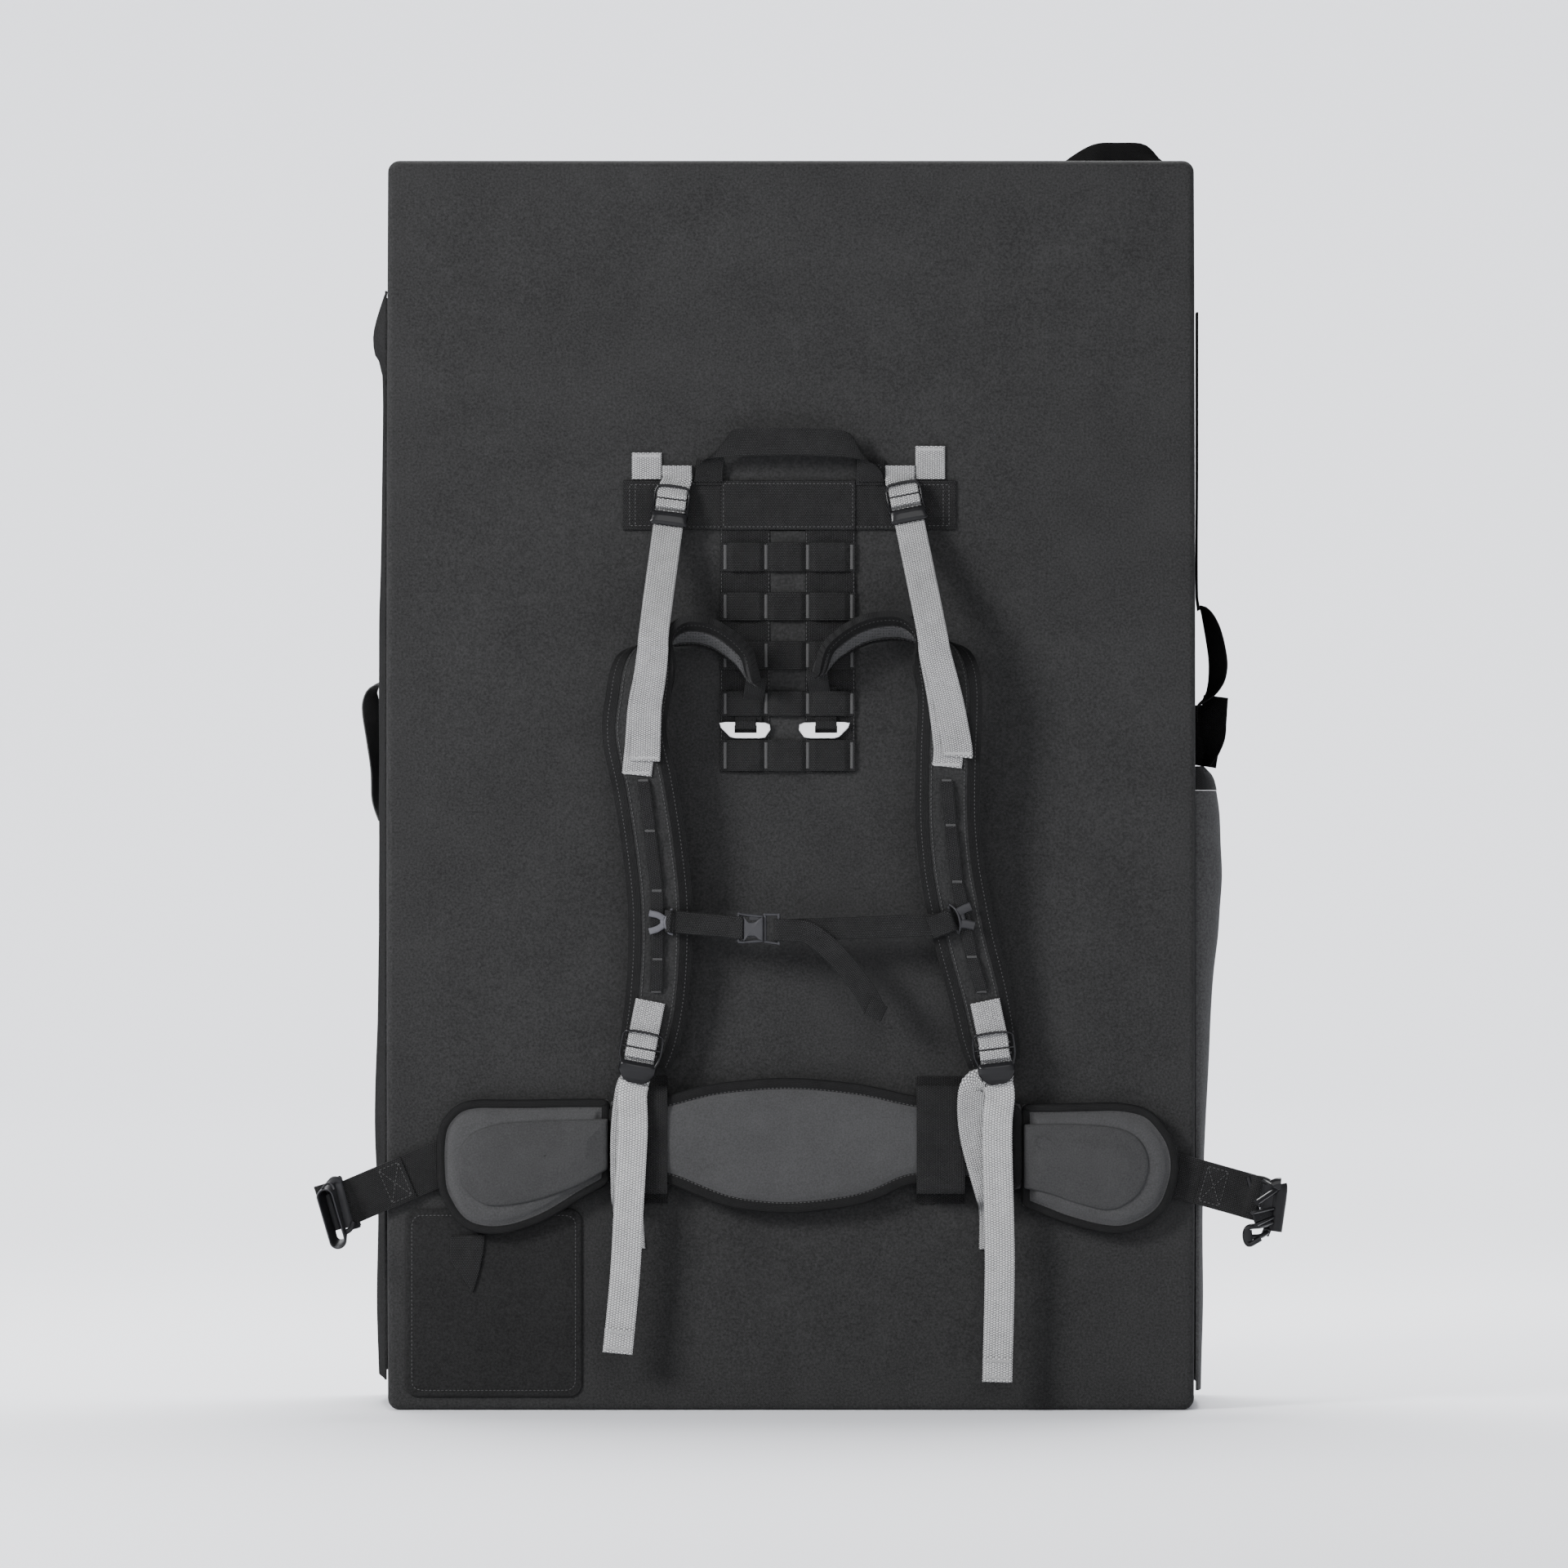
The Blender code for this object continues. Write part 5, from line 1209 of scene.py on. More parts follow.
class MakeShoulders(bpy.types.Operator):
    """Makes the shoulder pads, their bindings and the tapes down their fronts"""

    bl_idname = "crash_pad.shoulders"
    bl_label = "Shoulder pads"

    def execute(self, context):
        for side in ("left", "right"):
            path, hints, share = shoulder_line(side)
            shoulder_paths[side] = path
            run = lengths(path)
            end = np.clip(np.minimum(run, run[-1] - run) / 0.006, 0.35, 1)
            scale = np.stack((share, end), -1)[:, None]
            half = SHOULDER_WIDE / 2
            base = cushion_section(SHOULDER_WIDE, SHOULDER_THICK)
            pad = carried("shoulder_cushion_" + side, path, hints, base * scale)
            finish(pad, "shoulder", "shoulder_pad_" + side)
            _, wide, out = frames(path, hints)
            inner_face = -1 if out[len(out) // 2][1] < 0 else 1
            lining = base * (0.62, 1.0)
            lining = lining[lining[:, 1] * inner_face > 0]
            lining = np.vstack((lining + (0, 0.0004 * inner_face), lining[::-1] * (1, 0.3)))
            piece = carried("shoulder_lining_" + side, path, hints, lining * scale)
            finish(piece, "lining")
            tape = binding_section(base)
            top = base[base[:, 1] > 0][::-1]
            for name, sign in (("inner", 1), ("outer", -1)):
                rows = tape * np.stack((np.full_like(end, sign), end), -1)[:, None]
                rows[:, :, 0] += (sign * half * (share - 1))[:, None]
                piece = carried(f"shoulder_binding_{name}_{side}", path, hints, rows)
                finish(piece, "binding")
                for reach in (0.0030, 0.0118):
                    shift = (sign * (half * share - reach - 0.0004))[:, None]
                    rise = np.interp(half - reach, top[:, 0], top[:, 1])
                    for face in (1, -1):
                        line = path + wide * shift + out * (face * (rise + 0.0007) * end)[:, None]
                        seams.line(line, out * face)
            tip = path[0]
            sign = 1 if side == "left" else -1
            inward = tip[0] - 0.004 * sign
            rows = np.array((
                tip + (0, 0, 0.006), tip + (-0.001 * sign, 0.004, -0.004),
                tip + (-0.003 * sign, 0.014, -0.014), (inward, FACE - 0.004, tip[2] - 0.022),
                (inward, FACE - 0.0023, tip[2] - 0.034),
            ))
            piece = webbing("shoulder_tip_webbing_" + side, curve(rows, 0.002), SIDE, 0.018)
            finish(piece, "webbing")
        for side, tacks in RAILS.items():
            points = []
            for (row, column), (next_row, next_column) in zip(tacks, tacks[1:]):
                for share in (0, 0.16, 0.84):
                    r = row + (next_row - row) * share
                    c = column + (next_column - column) * share
                    lift = 0.0024 if share else 0
                    points.append(at(c, r, on_pad(side, r) - lift))
            r, c = tacks[-1]
            points.append(at(c, r, on_pad(side, r)))
            piece = webbing("shoulder_tape_" + side, curve(points, 0.002), SIDE, 0.0105)
            finish(piece, "webbing", "daisy_rail_" + side)
            for row, column in tacks:
                y = on_pad(side, row) - STRAP / 2 - 0.0002
                seams.tack(at(column - 6, row, y), at(column + 6, row, y))
        return {"FINISHED"}


# Rows and columns of the tacks in the shoulder tapes
RAILS = {
    "left": ((956, 788.5), (1017, 796.5), (1090, 805), (1174, 805.5), (1213, 804)),
    "right": ((956, 1158), (1010, 1163), (1079, 1171), (1171, 1189), (1213, 1201)),
}
# Upper ladder-locks: column and row, then the column of the loop that holds each
UPPER = {"left": ((821.5, 619), 829), "right": ((1108.5, 614.5), 1102)}
# Ends of the tabs above the locks, and the load straps from the top down
TABS = {"left": ((792, 554), (792, 586.5)), "right": ((1139, 546), (1139, 586.5))}
LIFTERS = {
    "left": ((803, 766), (800, 800), (796, 832), (790, 866), (787, 915), (784, 949)),
    "right": ((1138, 766), (1143, 800), (1150, 832), (1157, 866), (1164, 915), (1163, 939)),
}


class MakeLifters(bpy.types.Operator):
    """Makes the load lifter straps above the shoulder pads"""

    bl_idname = "crash_pad.lifters"
    bl_label = "Load lifters"

    def execute(self, context):
        arch = (2.0, 2.0, 1.95)
        for side in ("left", "right"):
            tab = np.array([at(c, r, FIRST_LAYER) for c, r in TABS[side]])
            piece = webbing("lifter_tab_webbing_" + side, curve(tab, 0.003), SIDE)
            finish(piece, "pale", "lifter_tab_" + side)
            seams.across(tab[0] + (0, -STRAP / 2, -0.003))
            (column, row), loop_column = UPPER[side]
            load = []
            for number, (c, r) in enumerate(LIFTERS[side]):
                load.append(at(c, r, FACE * arch[number] if number < 3 else on_pad(side, r)))
            load = np.array(load)
            tail = load + VIEWER * (LAYER_STEP + 0.0005)
            tail[-1] = (tail[-2] + tail[-1]) / 2
            origin = at(column, row, FACE - 0.0135)
            fr = place_frame(origin, origin - load[0])
            seat = np.array([at(loop_column, r, FIRST_LAYER) for r in (588, 580, 570)])
            seat[0][1] = FIRST_LAYER - LAYER_STEP
            over = seat + VIEWER * LAYER_STEP
            inner = [local(fr, 0, v, w) for v, w in loop_points(PITCH, 0.004)]
            points = np.vstack((over[::-1], inner, seat))
            hints = [SIDE] * 3 + [fr[1]] * len(inner) + [SIDE] * 3
            piece = hinted_webbing("lifter_loop_webbing_" + side, points, hints, spacing=0.002)
            finish(piece, "pale", "lifter_loop_" + side)
            lock = ladder_lock("lifter_lock_body_" + side, fr, 0.0084, 0.0, 0.0146)
            finish(lock, "gloss", "lifter_lock_" + side, sharp=60)
            low = -PITCH - LOCK_BAR / 2 - 0.0090 + LOCK_BAR
            inner = [local(fr, 0, v, w) for v, w in threaded_points(low)]
            slip = np.zeros((len(load), 3))
            slip[:, 0] = np.interp(-load[:, 2], -load[[0, -1], 2], (0, 0.0052))
            slip *= 1 if side == "left" else 1.4
            load, tail = load - slip * 0.45, tail + slip * 0.75
            points = np.vstack((load[::-1], inner, tail))
            hints = [SIDE] * len(load) + [fr[1]] * len(inner) + [SIDE] * len(tail)
            piece = hinted_webbing("lifter_webbing_" + side, points, hints)
            finish(piece, "pale", "lifter_strap_" + side)
            for shift in (0.003, 0.010):
                seams.across(tail[-1] + TOP * shift + VIEWER * (STRAP / 2 + 0.0001))
            seams.across(load[-1] + TOP * 0.002 + VIEWER * (STRAP / 2 + 0.0001))
        return {"FINISHED"}


# Lower ladder-locks: column and row, the place of the tab on the pad, and the lean
LOWER = {
    "left": ((784.5, 1289), (797, 1225), 0.19),
    "right": ((1217, 1290), (1205, 1225), -0.12),
}
# The hanging tails, and the straps from the locks to their anchors
TAILS = {
    "left": ((775.5, 1385), (771, 1470), (766, 1560), (757, 1655)),
    "right": ((1220, 1385), (1222, 1480), (1223, 1560), (1220, 1690)),
}
ANCHORS = {
    "left": ((772, 1335), (766.5, 1388), (767, 1462), (769, 1482), (772, 1530)),
    "right": ((1193, 1330), (1192, 1385), (1212, 1462), (1217, 1485), (1217, 1530)),
}


class MakeAdjusters(bpy.types.Operator):
    """Makes the lower adjusting straps with their tabs and hanging tails"""

    bl_idname = "crash_pad.adjusters"
    bl_label = "Lower straps"

    def execute(self, context):
        for side in ("left", "right"):
            (column, row), (tab_column, tab_row), lean = LOWER[side]
            fr = place_frame(at(column, row, -0.0985), (lean, 0, 1))
            low = -PITCH - LOCK_BAR / 2 - 0.0150 + LOCK_BAR
            over = PITCH + LOCK_BAR
            front = on_pad(side, tab_row)
            inner = [local(fr, 0, v, w) for v, w in loop_points(PITCH, 0)[1:-1]]
            points = [at(tab_column, tab_row, front - LAYER_STEP), local(fr, 0, over, LEG)]
            points += inner + [local(fr, 0, over, -LEG), at(tab_column, tab_row, front)]
            hints = [SIDE] + [fr[1]] * (len(points) - 2) + [SIDE]
            piece = hinted_webbing("adjuster_tab_webbing_" + side, points, hints, spacing=0.002)
            finish(piece, "pale", "adjuster_tab_" + side)
            top = np.array(points[0])
            down = unit(np.array(points[1]) - top)
            seams.box(top + down * 0.011 + VIEWER * (STRAP / 2 + 0.0001), 0.010, 0.007,
                      unit(np.cross(down, VIEWER)), -down, colour="thread_pale")
            lock = ladder_lock("adjuster_lock_body_" + side, fr, 0.0144, 0.55, 0.018)
            finish(lock, "gloss", "adjuster_lock_" + side, sharp=60)
            inner = [local(fr, 0, v, w) for v, w in threaded_points(low)]
            load = [at(c, r, FACE * k) for (c, r), k in
                    zip(ANCHORS[side], (1.47, 1.46, 1.45, 1.02, 1.02))]
            load[-1][1] = load[-2][1] = FIRST_LAYER
            points = load[::-1] + inner
            hints = [SIDE] * len(load) + [fr[1]] * len(inner)
            piece = hinted_webbing("adjuster_webbing_" + side, points, hints)
            finish(piece, "pale", "adjuster_strap_" + side)
            start = inner[-1] - unit(inner[-2] - inner[-1]) * 0.0017
            points = [start, start - fr[2] * 0.0110]
            points += [at(c, r, FACE * k) for (c, r), k in
                       zip(TAILS[side], (1.55, 1.58, 1.58, 1.57))]
            hints = [fr[1]] * 2 + [SIDE] * 4
            piece = hinted_webbing("tail_webbing_" + side, points, hints)
            body = side + "_tail"
            finish(piece, "tail", "adjuster_tail_" + side, body=body)
            end, before = np.array(points[-1]), np.array(points[-2])
            up = unit(before - end)
            fold = np.array([end + up * k for k in (0.0005, 0.010, 0.021)]) + VIEWER * (STRAP + GAP)
            piece = webbing("tail_fold_" + side, curve(fold, 0.002), SIDE)
            finish(piece, "tail", body=body)
            for shift in (0.004, 0.018):
                spot = end + up * shift + VIEWER * (STRAP * 1.5 + 0.0004)
                seams.across(spot, unit(np.cross(up, VIEWER)), body)
        return {"FINISHED"}


# Outlines of the hip belt
LUMBAR = (
    (747, 1348), (790, 1345), (816, 1342), (853, 1332), (891, 1325), (966, 1320), (1041, 1326),
    (1080, 1333), (1120, 1342), (1180, 1347), (1250.5, 1351), (1250.5, 1456), (1180, 1451),
    (1118, 1448), (1080, 1464), (1041, 1476), (966, 1484), (899, 1478), (858, 1464),
    (816, 1447), (780, 1446), (747, 1445),
)
LEFT_WING = (
    (746.3, 1346), (700, 1346), (650, 1347), (610, 1347), (585, 1347), (563, 1352), (548, 1365),
    (539.5, 1380), (536, 1408), (538, 1452), (546, 1473), (559, 1493), (576, 1505), (602, 1510),
    (633, 1506), (672, 1491), (715, 1465), (746.3, 1448),
)
RIGHT_WING = (
    (1251.2, 1352), (1290, 1352), (1335, 1351), (1372, 1351), (1405, 1359), (1426, 1380),
    (1438, 1402), (1442, 1429), (1437, 1455), (1426, 1480), (1405, 1498), (1375, 1509),
    (1344, 1507), (1303, 1496), (1275, 1485), (1251.2, 1476),
)
# Raised panels of the wings
MOULDINGS = {
    "left": (
        (745, 1369), (700, 1370), (650, 1371.5), (612, 1375), (588, 1382), (571, 1395), (562, 1417),
        (564, 1441), (577, 1463), (602, 1476), (650, 1471), (704, 1453), (745, 1431),
    ),
    "right": (
        (1253, 1376), (1300, 1375), (1345, 1377), (1375, 1382), (1394, 1394), (1405, 1414),
        (1405, 1436), (1396, 1458), (1378, 1474), (1354, 1481), (1318, 1473), (1283, 1461),
        (1253, 1454),
    ),
}


def evenly(closed, count):
    """Points at even steps round a closed line."""
    run = lengths(closed)
    s = np.arange(count) * run[-1] / count
    return np.stack([np.interp(s, run, column) for column in closed.T], -1)


def even_outline(pixels, count, corners):
    """Outline through the points at even steps. It is smooth but for the corners named."""
    flat = np.array([(px(c), 0, pz(r)) for c, r in pixels])
    dense = []
    for a, b in zip(corners, corners[1:] + (corners[0] + len(flat),)):
        run = [flat[k % len(flat)] for k in range(a, b + 1)]
        span = curve(run, 0.002, least=1) if len(run) > 2 else np.linspace(run[0], run[1], 20)
        dense.append(span[:-1])
    dense = np.vstack(dense)[:, ::2]
    return evenly(np.vstack((dense, dense[:1])), count)


INWARD_STEP = 0.0009


def turned_in(outline, distance):
    """Outline moved inwards along its normals in small steps, and spaced evenly after each."""
    count = max(1, math.ceil(abs(distance) / INWARD_STEP))
    for _ in range(count):
        ahead = np.roll(outline, -1, 0) - np.roll(outline, 1, 0)
        normal = unit(np.stack((-ahead[:, 1], ahead[:, 0]), -1))
        x, z = outline[:, 0], outline[:, 1]
        area = np.sum(x * np.roll(z, -1) - np.roll(x, -1) * z)
        outline = outline + normal * (distance / count * np.sign(area))
        outline = (np.roll(outline, 1, 0) + outline * 2 + np.roll(outline, -1, 0)) / 4
        outline = evenly(np.vstack((outline, outline[:1])), len(outline))
    return outline


def cushion_rings(outline, profile, crown=0.0, seed=1, wave=0.0):
    """Cushion over an outline: rings move inwards by the profile's first value, at its second
    value's depth, and then shrink to the middle, rising by the crown as a parabola."""
    rings = [standing(turned_in(outline, distance), depth) for distance, depth in profile]

    def close(edge, raised):
        centre = edge.mean(0)
        made = []
        for share in np.linspace(0.92, 0.02, 15):
            ring = centre + (edge - centre) * share
            ring[:, 1] = centre[1] - raised * crown * (1 - share**2)
            if wave:
                fade = min(1.0, (1 - share) * 6) * min(1.0, share * 3)
                ring[:, 1] += raised * ripple(ring[:, 0], ring[:, 2], seed, 0.09) * wave * fade
            made.append(ring)
        return made

    return np.array(close(rings[0], 0)[::-1] + rings + close(rings[-1], 1))


def cushion(name, *shape):
    points = cushion_rings(*shape)
    return grid_mesh(name, points, points[..., ::2])


def edge_tape(name, outline, inset, depth, width, thick):
    """Binding round an outline: a flat band section that follows it."""
    path = standing(turned_in(outline, inset), depth)
    ahead = np.roll(path, -1, 0) - np.roll(path, 1, 0)
    section = oval(width, thick, 12, 0.6)
    return carried(name, path, unit(ahead[:, ::-1] * (1, 0, -1)), section, closed=True)


class MakeBelt(bpy.types.Operator):
    """Makes the hip belt: its back pad, wings, keepers and webbing"""

    bl_idname = "crash_pad.belt"
    bl_label = "Hip belt"

    def execute(self, context):
        soft = 0.022
        back = FACE - SLACK
        front = back - soft
        outline = even_outline(LUMBAR, 260, (0, 10, 11, 21))
        profile = [(inset, back - soft * share) for inset, share in (
            (0.004, 0), (0.0008, 0.1), (0, 0.2), (0, 0.6), (0.0015, 0.74), (0.005, 0.83),
            (0.0085, 0.86), (0.011, 0.93), (0.015, 1))]
        pad = cushion("belt_back_pad", outline, profile, 0.0, 4, 0.0003)
        finish(pad, "belt", "hip_lumbar", slot="spacer_mesh")
        tape = edge_tape("belt_back_binding", outline, 0.0042, back - soft * 0.80, 0.0098, 0.0052)
        finish(tape, "binding")
        line = standing(turned_in(outline, 0.0080), back - soft * 0.90)
        seams.line(np.vstack((line, line[:1])))
        reach = front - GAP - STRAP / 2 - GAP
        for side, column in (("left", 788), ("right", 1151.5)):
            points = [at(column, r, y) for r, y in (
                (1318, FIRST_LAYER), (1330, FIRST_LAYER), (1333, (FIRST_LAYER + reach) / 2),
                (1335, reach), (1395, reach), (1455, reach), (1457, (FIRST_LAYER + reach) / 2),
                (1460, FIRST_LAYER), (1474, FIRST_LAYER))]
            width = float(px(1181) - px(1122))
            piece = webbing("belt_keeper_webbing_" + side, curve(points, 0.003), SIDE, width)
            finish(piece, "webbing", "belt_keeper_" + side)
        start = FACE - 0.0070
        for side, pixels, corners in (("left", LEFT_WING, (0, 17)), ("right", RIGHT_WING, (0, 15))):
            outline = even_outline(pixels, 240, corners)
            profile = [(inset, start - rise) for inset, rise in (
                (0.005, 0), (0.001, 0.002), (0, 0.004), (0, 0.008), (0.0012, 0.0093),
                (0.004, 0.0101), (0.0085, 0.0104), (0.0102, 0.0122), (0.0130, 0.0146),
                (0.0180, 0.0150))]
            wing = cushion("belt_wing_" + side, outline, profile, 0.0006, 9, 0.00025)
            body = side + "_wing"
            finish(wing, "belt", "hip_wing_" + side, body=body)
            ring = even_outline(MOULDINGS[side], 220, (0, len(MOULDINGS[side]) - 1))
            level = start - 0.0142
            profile = [(inset, level - rise) for inset, rise in (
                (0.0008, -0.003), (0, 0), (0.0004, 0.0020), (0.0022, 0.0036), (0.0055, 0.0041),
                (0.0105, 0.0049), (0.0150, 0.0066), (0.0178, 0.0073), (0.0215, 0.0075))]
            raised = cushion("belt_wing_moulding_" + side, ring, profile, 0.0004, 15, 0.0002)
            finish(raised, "belt_dark", body=body)
            tape = edge_tape("belt_wing_binding_" + side, outline, 0.0036, start - 0.0062,
                             0.0086, 0.0090)
            finish(tape, "binding", body=body)
            seams.line(standing(turned_in(outline, 0.0068), start - 0.0108), body=body)
        for side, first, bar, lean in (
            ("left", (600, 1399), (428, 1472), (-1, -0.425)),
            ("right", (1378, 1422), (1535, 1466), (1, -0.28)),
        ):
            depth = start + 0.0005 + STRAP / 2 + GAP
            bar_reach = 0.0042 * 0.72
            c = bar_reach + SLACK + STRAP / 2
            fr = place_frame(at(*bar, depth - c), (lean[0], 0, lean[1]))
            run = np.linalg.norm(at(*first, depth) - at(*bar, depth))
            cut = c / 2
            points = ((-run, -c), (-run / 2, -c), (c - cut, -c), (c, cut - c), (c, c - cut),
                      (c - cut, c), (-bar_reach, c), (-0.0126, -c + LAYER_STEP + GAP),
                      (-run * 0.42, -c + LAYER_STEP + GAP))
            line = curve([local(fr, 0, v, w) for v, w in points], 0.002)
            piece = webbing("belt_webbing_" + side, line, fr[1], 0.038)
            finish(piece, "webbing", "hip_webbing_" + side, body=side + "_wing")
            spot = local(fr, 0, -run * 0.42 + 0.012, -c + LAYER_STEP + 0.0012)
            seams.box(spot, 0.015, 0.009, fr[1], fr[2], fr[3], body=side + "_wing")
        return {"FINISHED"}


CHEST_WIDTH = 0.019


class MakeChest(bpy.types.Operator):
    """Makes the chest strap webbing"""

    bl_idname = "crash_pad.chest"
    bl_label = "Chest strap"

    def execute(self, context):
        height = float(pz(1134))
        socket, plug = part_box("chest_socket"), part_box("chest_plug")
        depth = (socket[0][1] + socket[1][1]) / 2
        bar_left = np.array((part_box("chest_slider_left")[1][0] - 0.0015, depth, height))
        right_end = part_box("chest_slider_right")[0][0] + 0.0015
        margin = SLACK + STRAP / 2
        keep, thick, far_bar = 0.0015, 0.0045, 0.0017
        loose = margin + 0.0014
        apart = STRAP / 2 + 0.0002
        first_far, last_far = 0.0014 + loose, thick + margin
        ease = (keep + margin) * 3
        run = socket[0][0] + 0.0017 - bar_left[0]
        loop = [
            (keep, first_far), (ease, apart), (run - ease, apart), (run - far_bar, last_far),
            (run + far_bar, last_far), (run + far_bar + margin, thick),
            (run + far_bar + margin, -thick), (run + far_bar, -last_far),
            (run - far_bar, -last_far), (run - ease, -apart),
            (ease, -apart), (keep, -first_far), (-keep, -first_far), (-keep - loose, -0.0014),
            (-keep - loose, 0.0014), (-keep, first_far),
        ]
        line = curve([bar_left + SIDE * u + VIEWER * w + TOP * (6.5 - 7.5 * u / run) * UP
                      for u, w in loop], 0.002, closed=True)
        piece = webbing("chest_strap_left", line, TOP, CHEST_WIDTH, closed=True)
        finish(piece, "webbing", "chest_webbing_left")
        origin = np.array((plug[1][0] - 0.0017, depth, height))
        run = right_end - origin[0]
        near = 0.0023 + margin
        path = [
            (run - ease * 2, first_far), (run - keep, first_far), (run + keep, first_far),
            (run + keep + loose, 0.0014), (run + keep + loose, -0.0014), (run + keep, -first_far),
            (run - keep, -first_far), (run - ease, -apart), (ease, -apart), (far_bar, -near),
            (-far_bar, -near), (-far_bar - margin, -0.0023), (-far_bar - margin, 0.0023),
            (-far_bar, near), (far_bar, near), (ease, near),
        ]
        rows = []
        for u, w in path:
            spot = origin + SIDE * u + VIEWER * w
            share = (spot[0] - float(px(953))) / (float(px(1163)) - float(px(953)))
            drop = np.interp(share, (0, 0.41, 0.76, 0.88, 1), (4, 6.5, 5.5, 2, -8))
            lean = -0.36 * float(np.clip((share - 0.86) / 0.10, 0, 1))
            rows.append((*(spot - TOP * drop * UP), lean, 0, 1))
        tail = np.array([at(c, r, depth - near) for c, r in (
            (985, 1140), (1003, 1150), (1023, 1168), (1042, 1190), (1058, 1212), (1070, 1234))])
        hints = facing(tail)
        hints = np.where(hints[:, 2:3] < 0, -hints, hints)
        rows += [(*p, *h) for p, h in zip(tail, hints)]
        rows = np.array(rows)
        piece = hinted_webbing("chest_strap_right", rows[:, :3], rows[:, 3:], CHEST_WIDTH, 0.002)
        finish(piece, "webbing", "chest_webbing_right")
        return {"FINISHED"}


# Rounded bars of each buckle: width and depth in millimetres, then photo points, each with its
# distance in front of the pad's middle in millimetres
CLIP_LEFT = (
    (5.6, 2.4, (795.7, 1117.5, 108.6), (806, 1119.8, 108.6), (813, 1124, 108)),
    (5.6, 2.4, (795.7, 1139.7, 108.6), (805, 1137, 108.6), (813, 1132, 108)),
    (4.6, 2.8, (811, 1120, 107.5), (812.5, 1128, 107.5), (811, 1136, 107.5)),
    (1.8, 2.0, (823, 1113.6, 106), (819.6, 1116.6, 108), (816, 1123, 108.5), (815, 1130, 108.5),
     (816.7, 1136.4, 108.5), (819.6, 1141.5, 108), (824, 1143.4, 106)),
    (2.0, 2.0, (823, 1112, 104.9), (822.6, 1144, 104.9)),
)
CLIP_RIGHT = (
    (7.4, 2.4, (1171, 1117, 109), (1180, 1112, 109), (1187.5, 1109, 109)),
    (7.4, 2.4, (1176, 1130, 109), (1184, 1131, 109), (1192, 1133, 109)),
    (4.6, 2.8, (1175, 1114, 108), (1178, 1124, 108), (1179, 1134, 108)),
    (2.0, 2.2, (1162, 1107, 105), (1169, 1113, 109), (1173.5, 1123, 110), (1175, 1133, 109),
     (1173, 1142, 105)),
    (2.4, 2.2, (1160, 1109, 104.9), (1173, 1142, 104.9)),
)
CHEST_SOCKET = (
    (2.6, 6.0, (904.6, 1117, 106.7), (904.6, 1152, 106.7)),
    (2.6, 6.0, (903.6, 1117.6, 106.7), (911, 1119.5, 106.7), (934, 1121.8, 106.7)),
    (2.6, 6.0, (903.6, 1152.4, 106.7), (911, 1152.6, 106.7), (934, 1151.2, 106.7)),
)
CHEST_PLUG = (
    (3.2, 3.4, (936.6, 1118, 106.7), (936.6, 1152, 106.7)),
    (2.2, 4.4, (936, 1119, 106.7), (954, 1119.6, 106.7)),
    (2.2, 4.4, (936, 1152, 106.7), (954, 1155, 106.7)),
    (3.0, 4.2, (953.6, 1118, 106.7), (953.6, 1156, 106.7)),
)
HIP_SOCKET = (
    (6.4, 2.6, (402.5, 1462, 84), (415.5, 1505, 84)),
    (9.6, 3.0, (412.5, 1445, 82), (428, 1502, 82)),
    (6.4, 5.0, (404, 1450, 84), (410, 1444, 83), (418, 1446, 81)),
    (4.6, 4.0, (433, 1495, 82), (430, 1504, 82), (424, 1508, 83)),
    (4.4, 4.0, (417, 1442, 80), (416, 1443, 73)),
    (4.4, 4.0, (432, 1502, 81), (436, 1501, 77), (440, 1500, 73)),
    (4.8, 4.8, (416, 1443, 73.5), (440, 1501, 73.5)),
    (2.2, 2.4, (397.5, 1454, 103), (400, 1449.5, 100), (404.5, 1447.5, 98), (409, 1450, 98),
     (411.5, 1455, 99)),
)
HIP_PLUG = (
    (13.0, 2.8, (1554, 1450, 81.3), (1549, 1500, 81.3)),
    (12.0, 6.0, (1566, 1449, 81), (1566.5, 1460, 81), (1560, 1507, 81)),
    (11.5, 8.0, (1557, 1452, 83), (1563, 1449.5, 83), (1567, 1449.5, 83)),
    (7.4, 5.0, (1545, 1505, 82), (1554, 1509, 82)),
    (6.0, 3.4, (1531, 1442, 73.5), (1546, 1444, 76.5), (1556, 1449, 80)),
    (5.0, 3.4, (1543, 1497, 73.5), (1547, 1500, 77), (1551, 1503, 81)),
    (4.8, 4.8, (1528, 1441, 73.5), (1543, 1497, 73.5)),
    (5.0, 4.6, (1561, 1456, 84), (1536, 1470.5, 106)),
    (10.0, 2.2, (1556, 1484, 83), (1533, 1489.5, 104)),
    (3.2, 4.4, (1557, 1479, 84), (1531, 1483, 107)),
    (3.2, 4.4, (1557, 1490, 84), (1535, 1498, 106)),
    (4.8, 4.4, (1556, 1496, 84), (1541, 1499, 98), (1527, 1500.5, 102), (1522.5, 1507, 102),
     (1523, 1516, 102), (1527, 1521.5, 102), (1535, 1518, 101), (1541, 1514.5, 100)),
    (7.0, 3.0, (1525.5, 1504, 103), (1526.5, 1518, 103)),
    (4.4, 3.6, (1529, 1512.5, 102), (1541, 1512, 96), (1550, 1508, 85)),
)
SOCKET_FACE = (
    (910.5, 1121), (913, 1126), (917, 1128.5), (924.5, 1128.5), (929, 1124.5), (934.6, 1121.4),
    (934.6, 1152), (929, 1149.5), (924.5, 1145.5), (917, 1145.5), (913, 1148), (910.5, 1152.6),
)


def in_front(points):
    """Points of photo columns, rows and distances in front of the pad's middle, in mm."""
    return np.array([at(c, r, -d / 1000) for c, r, d in points])


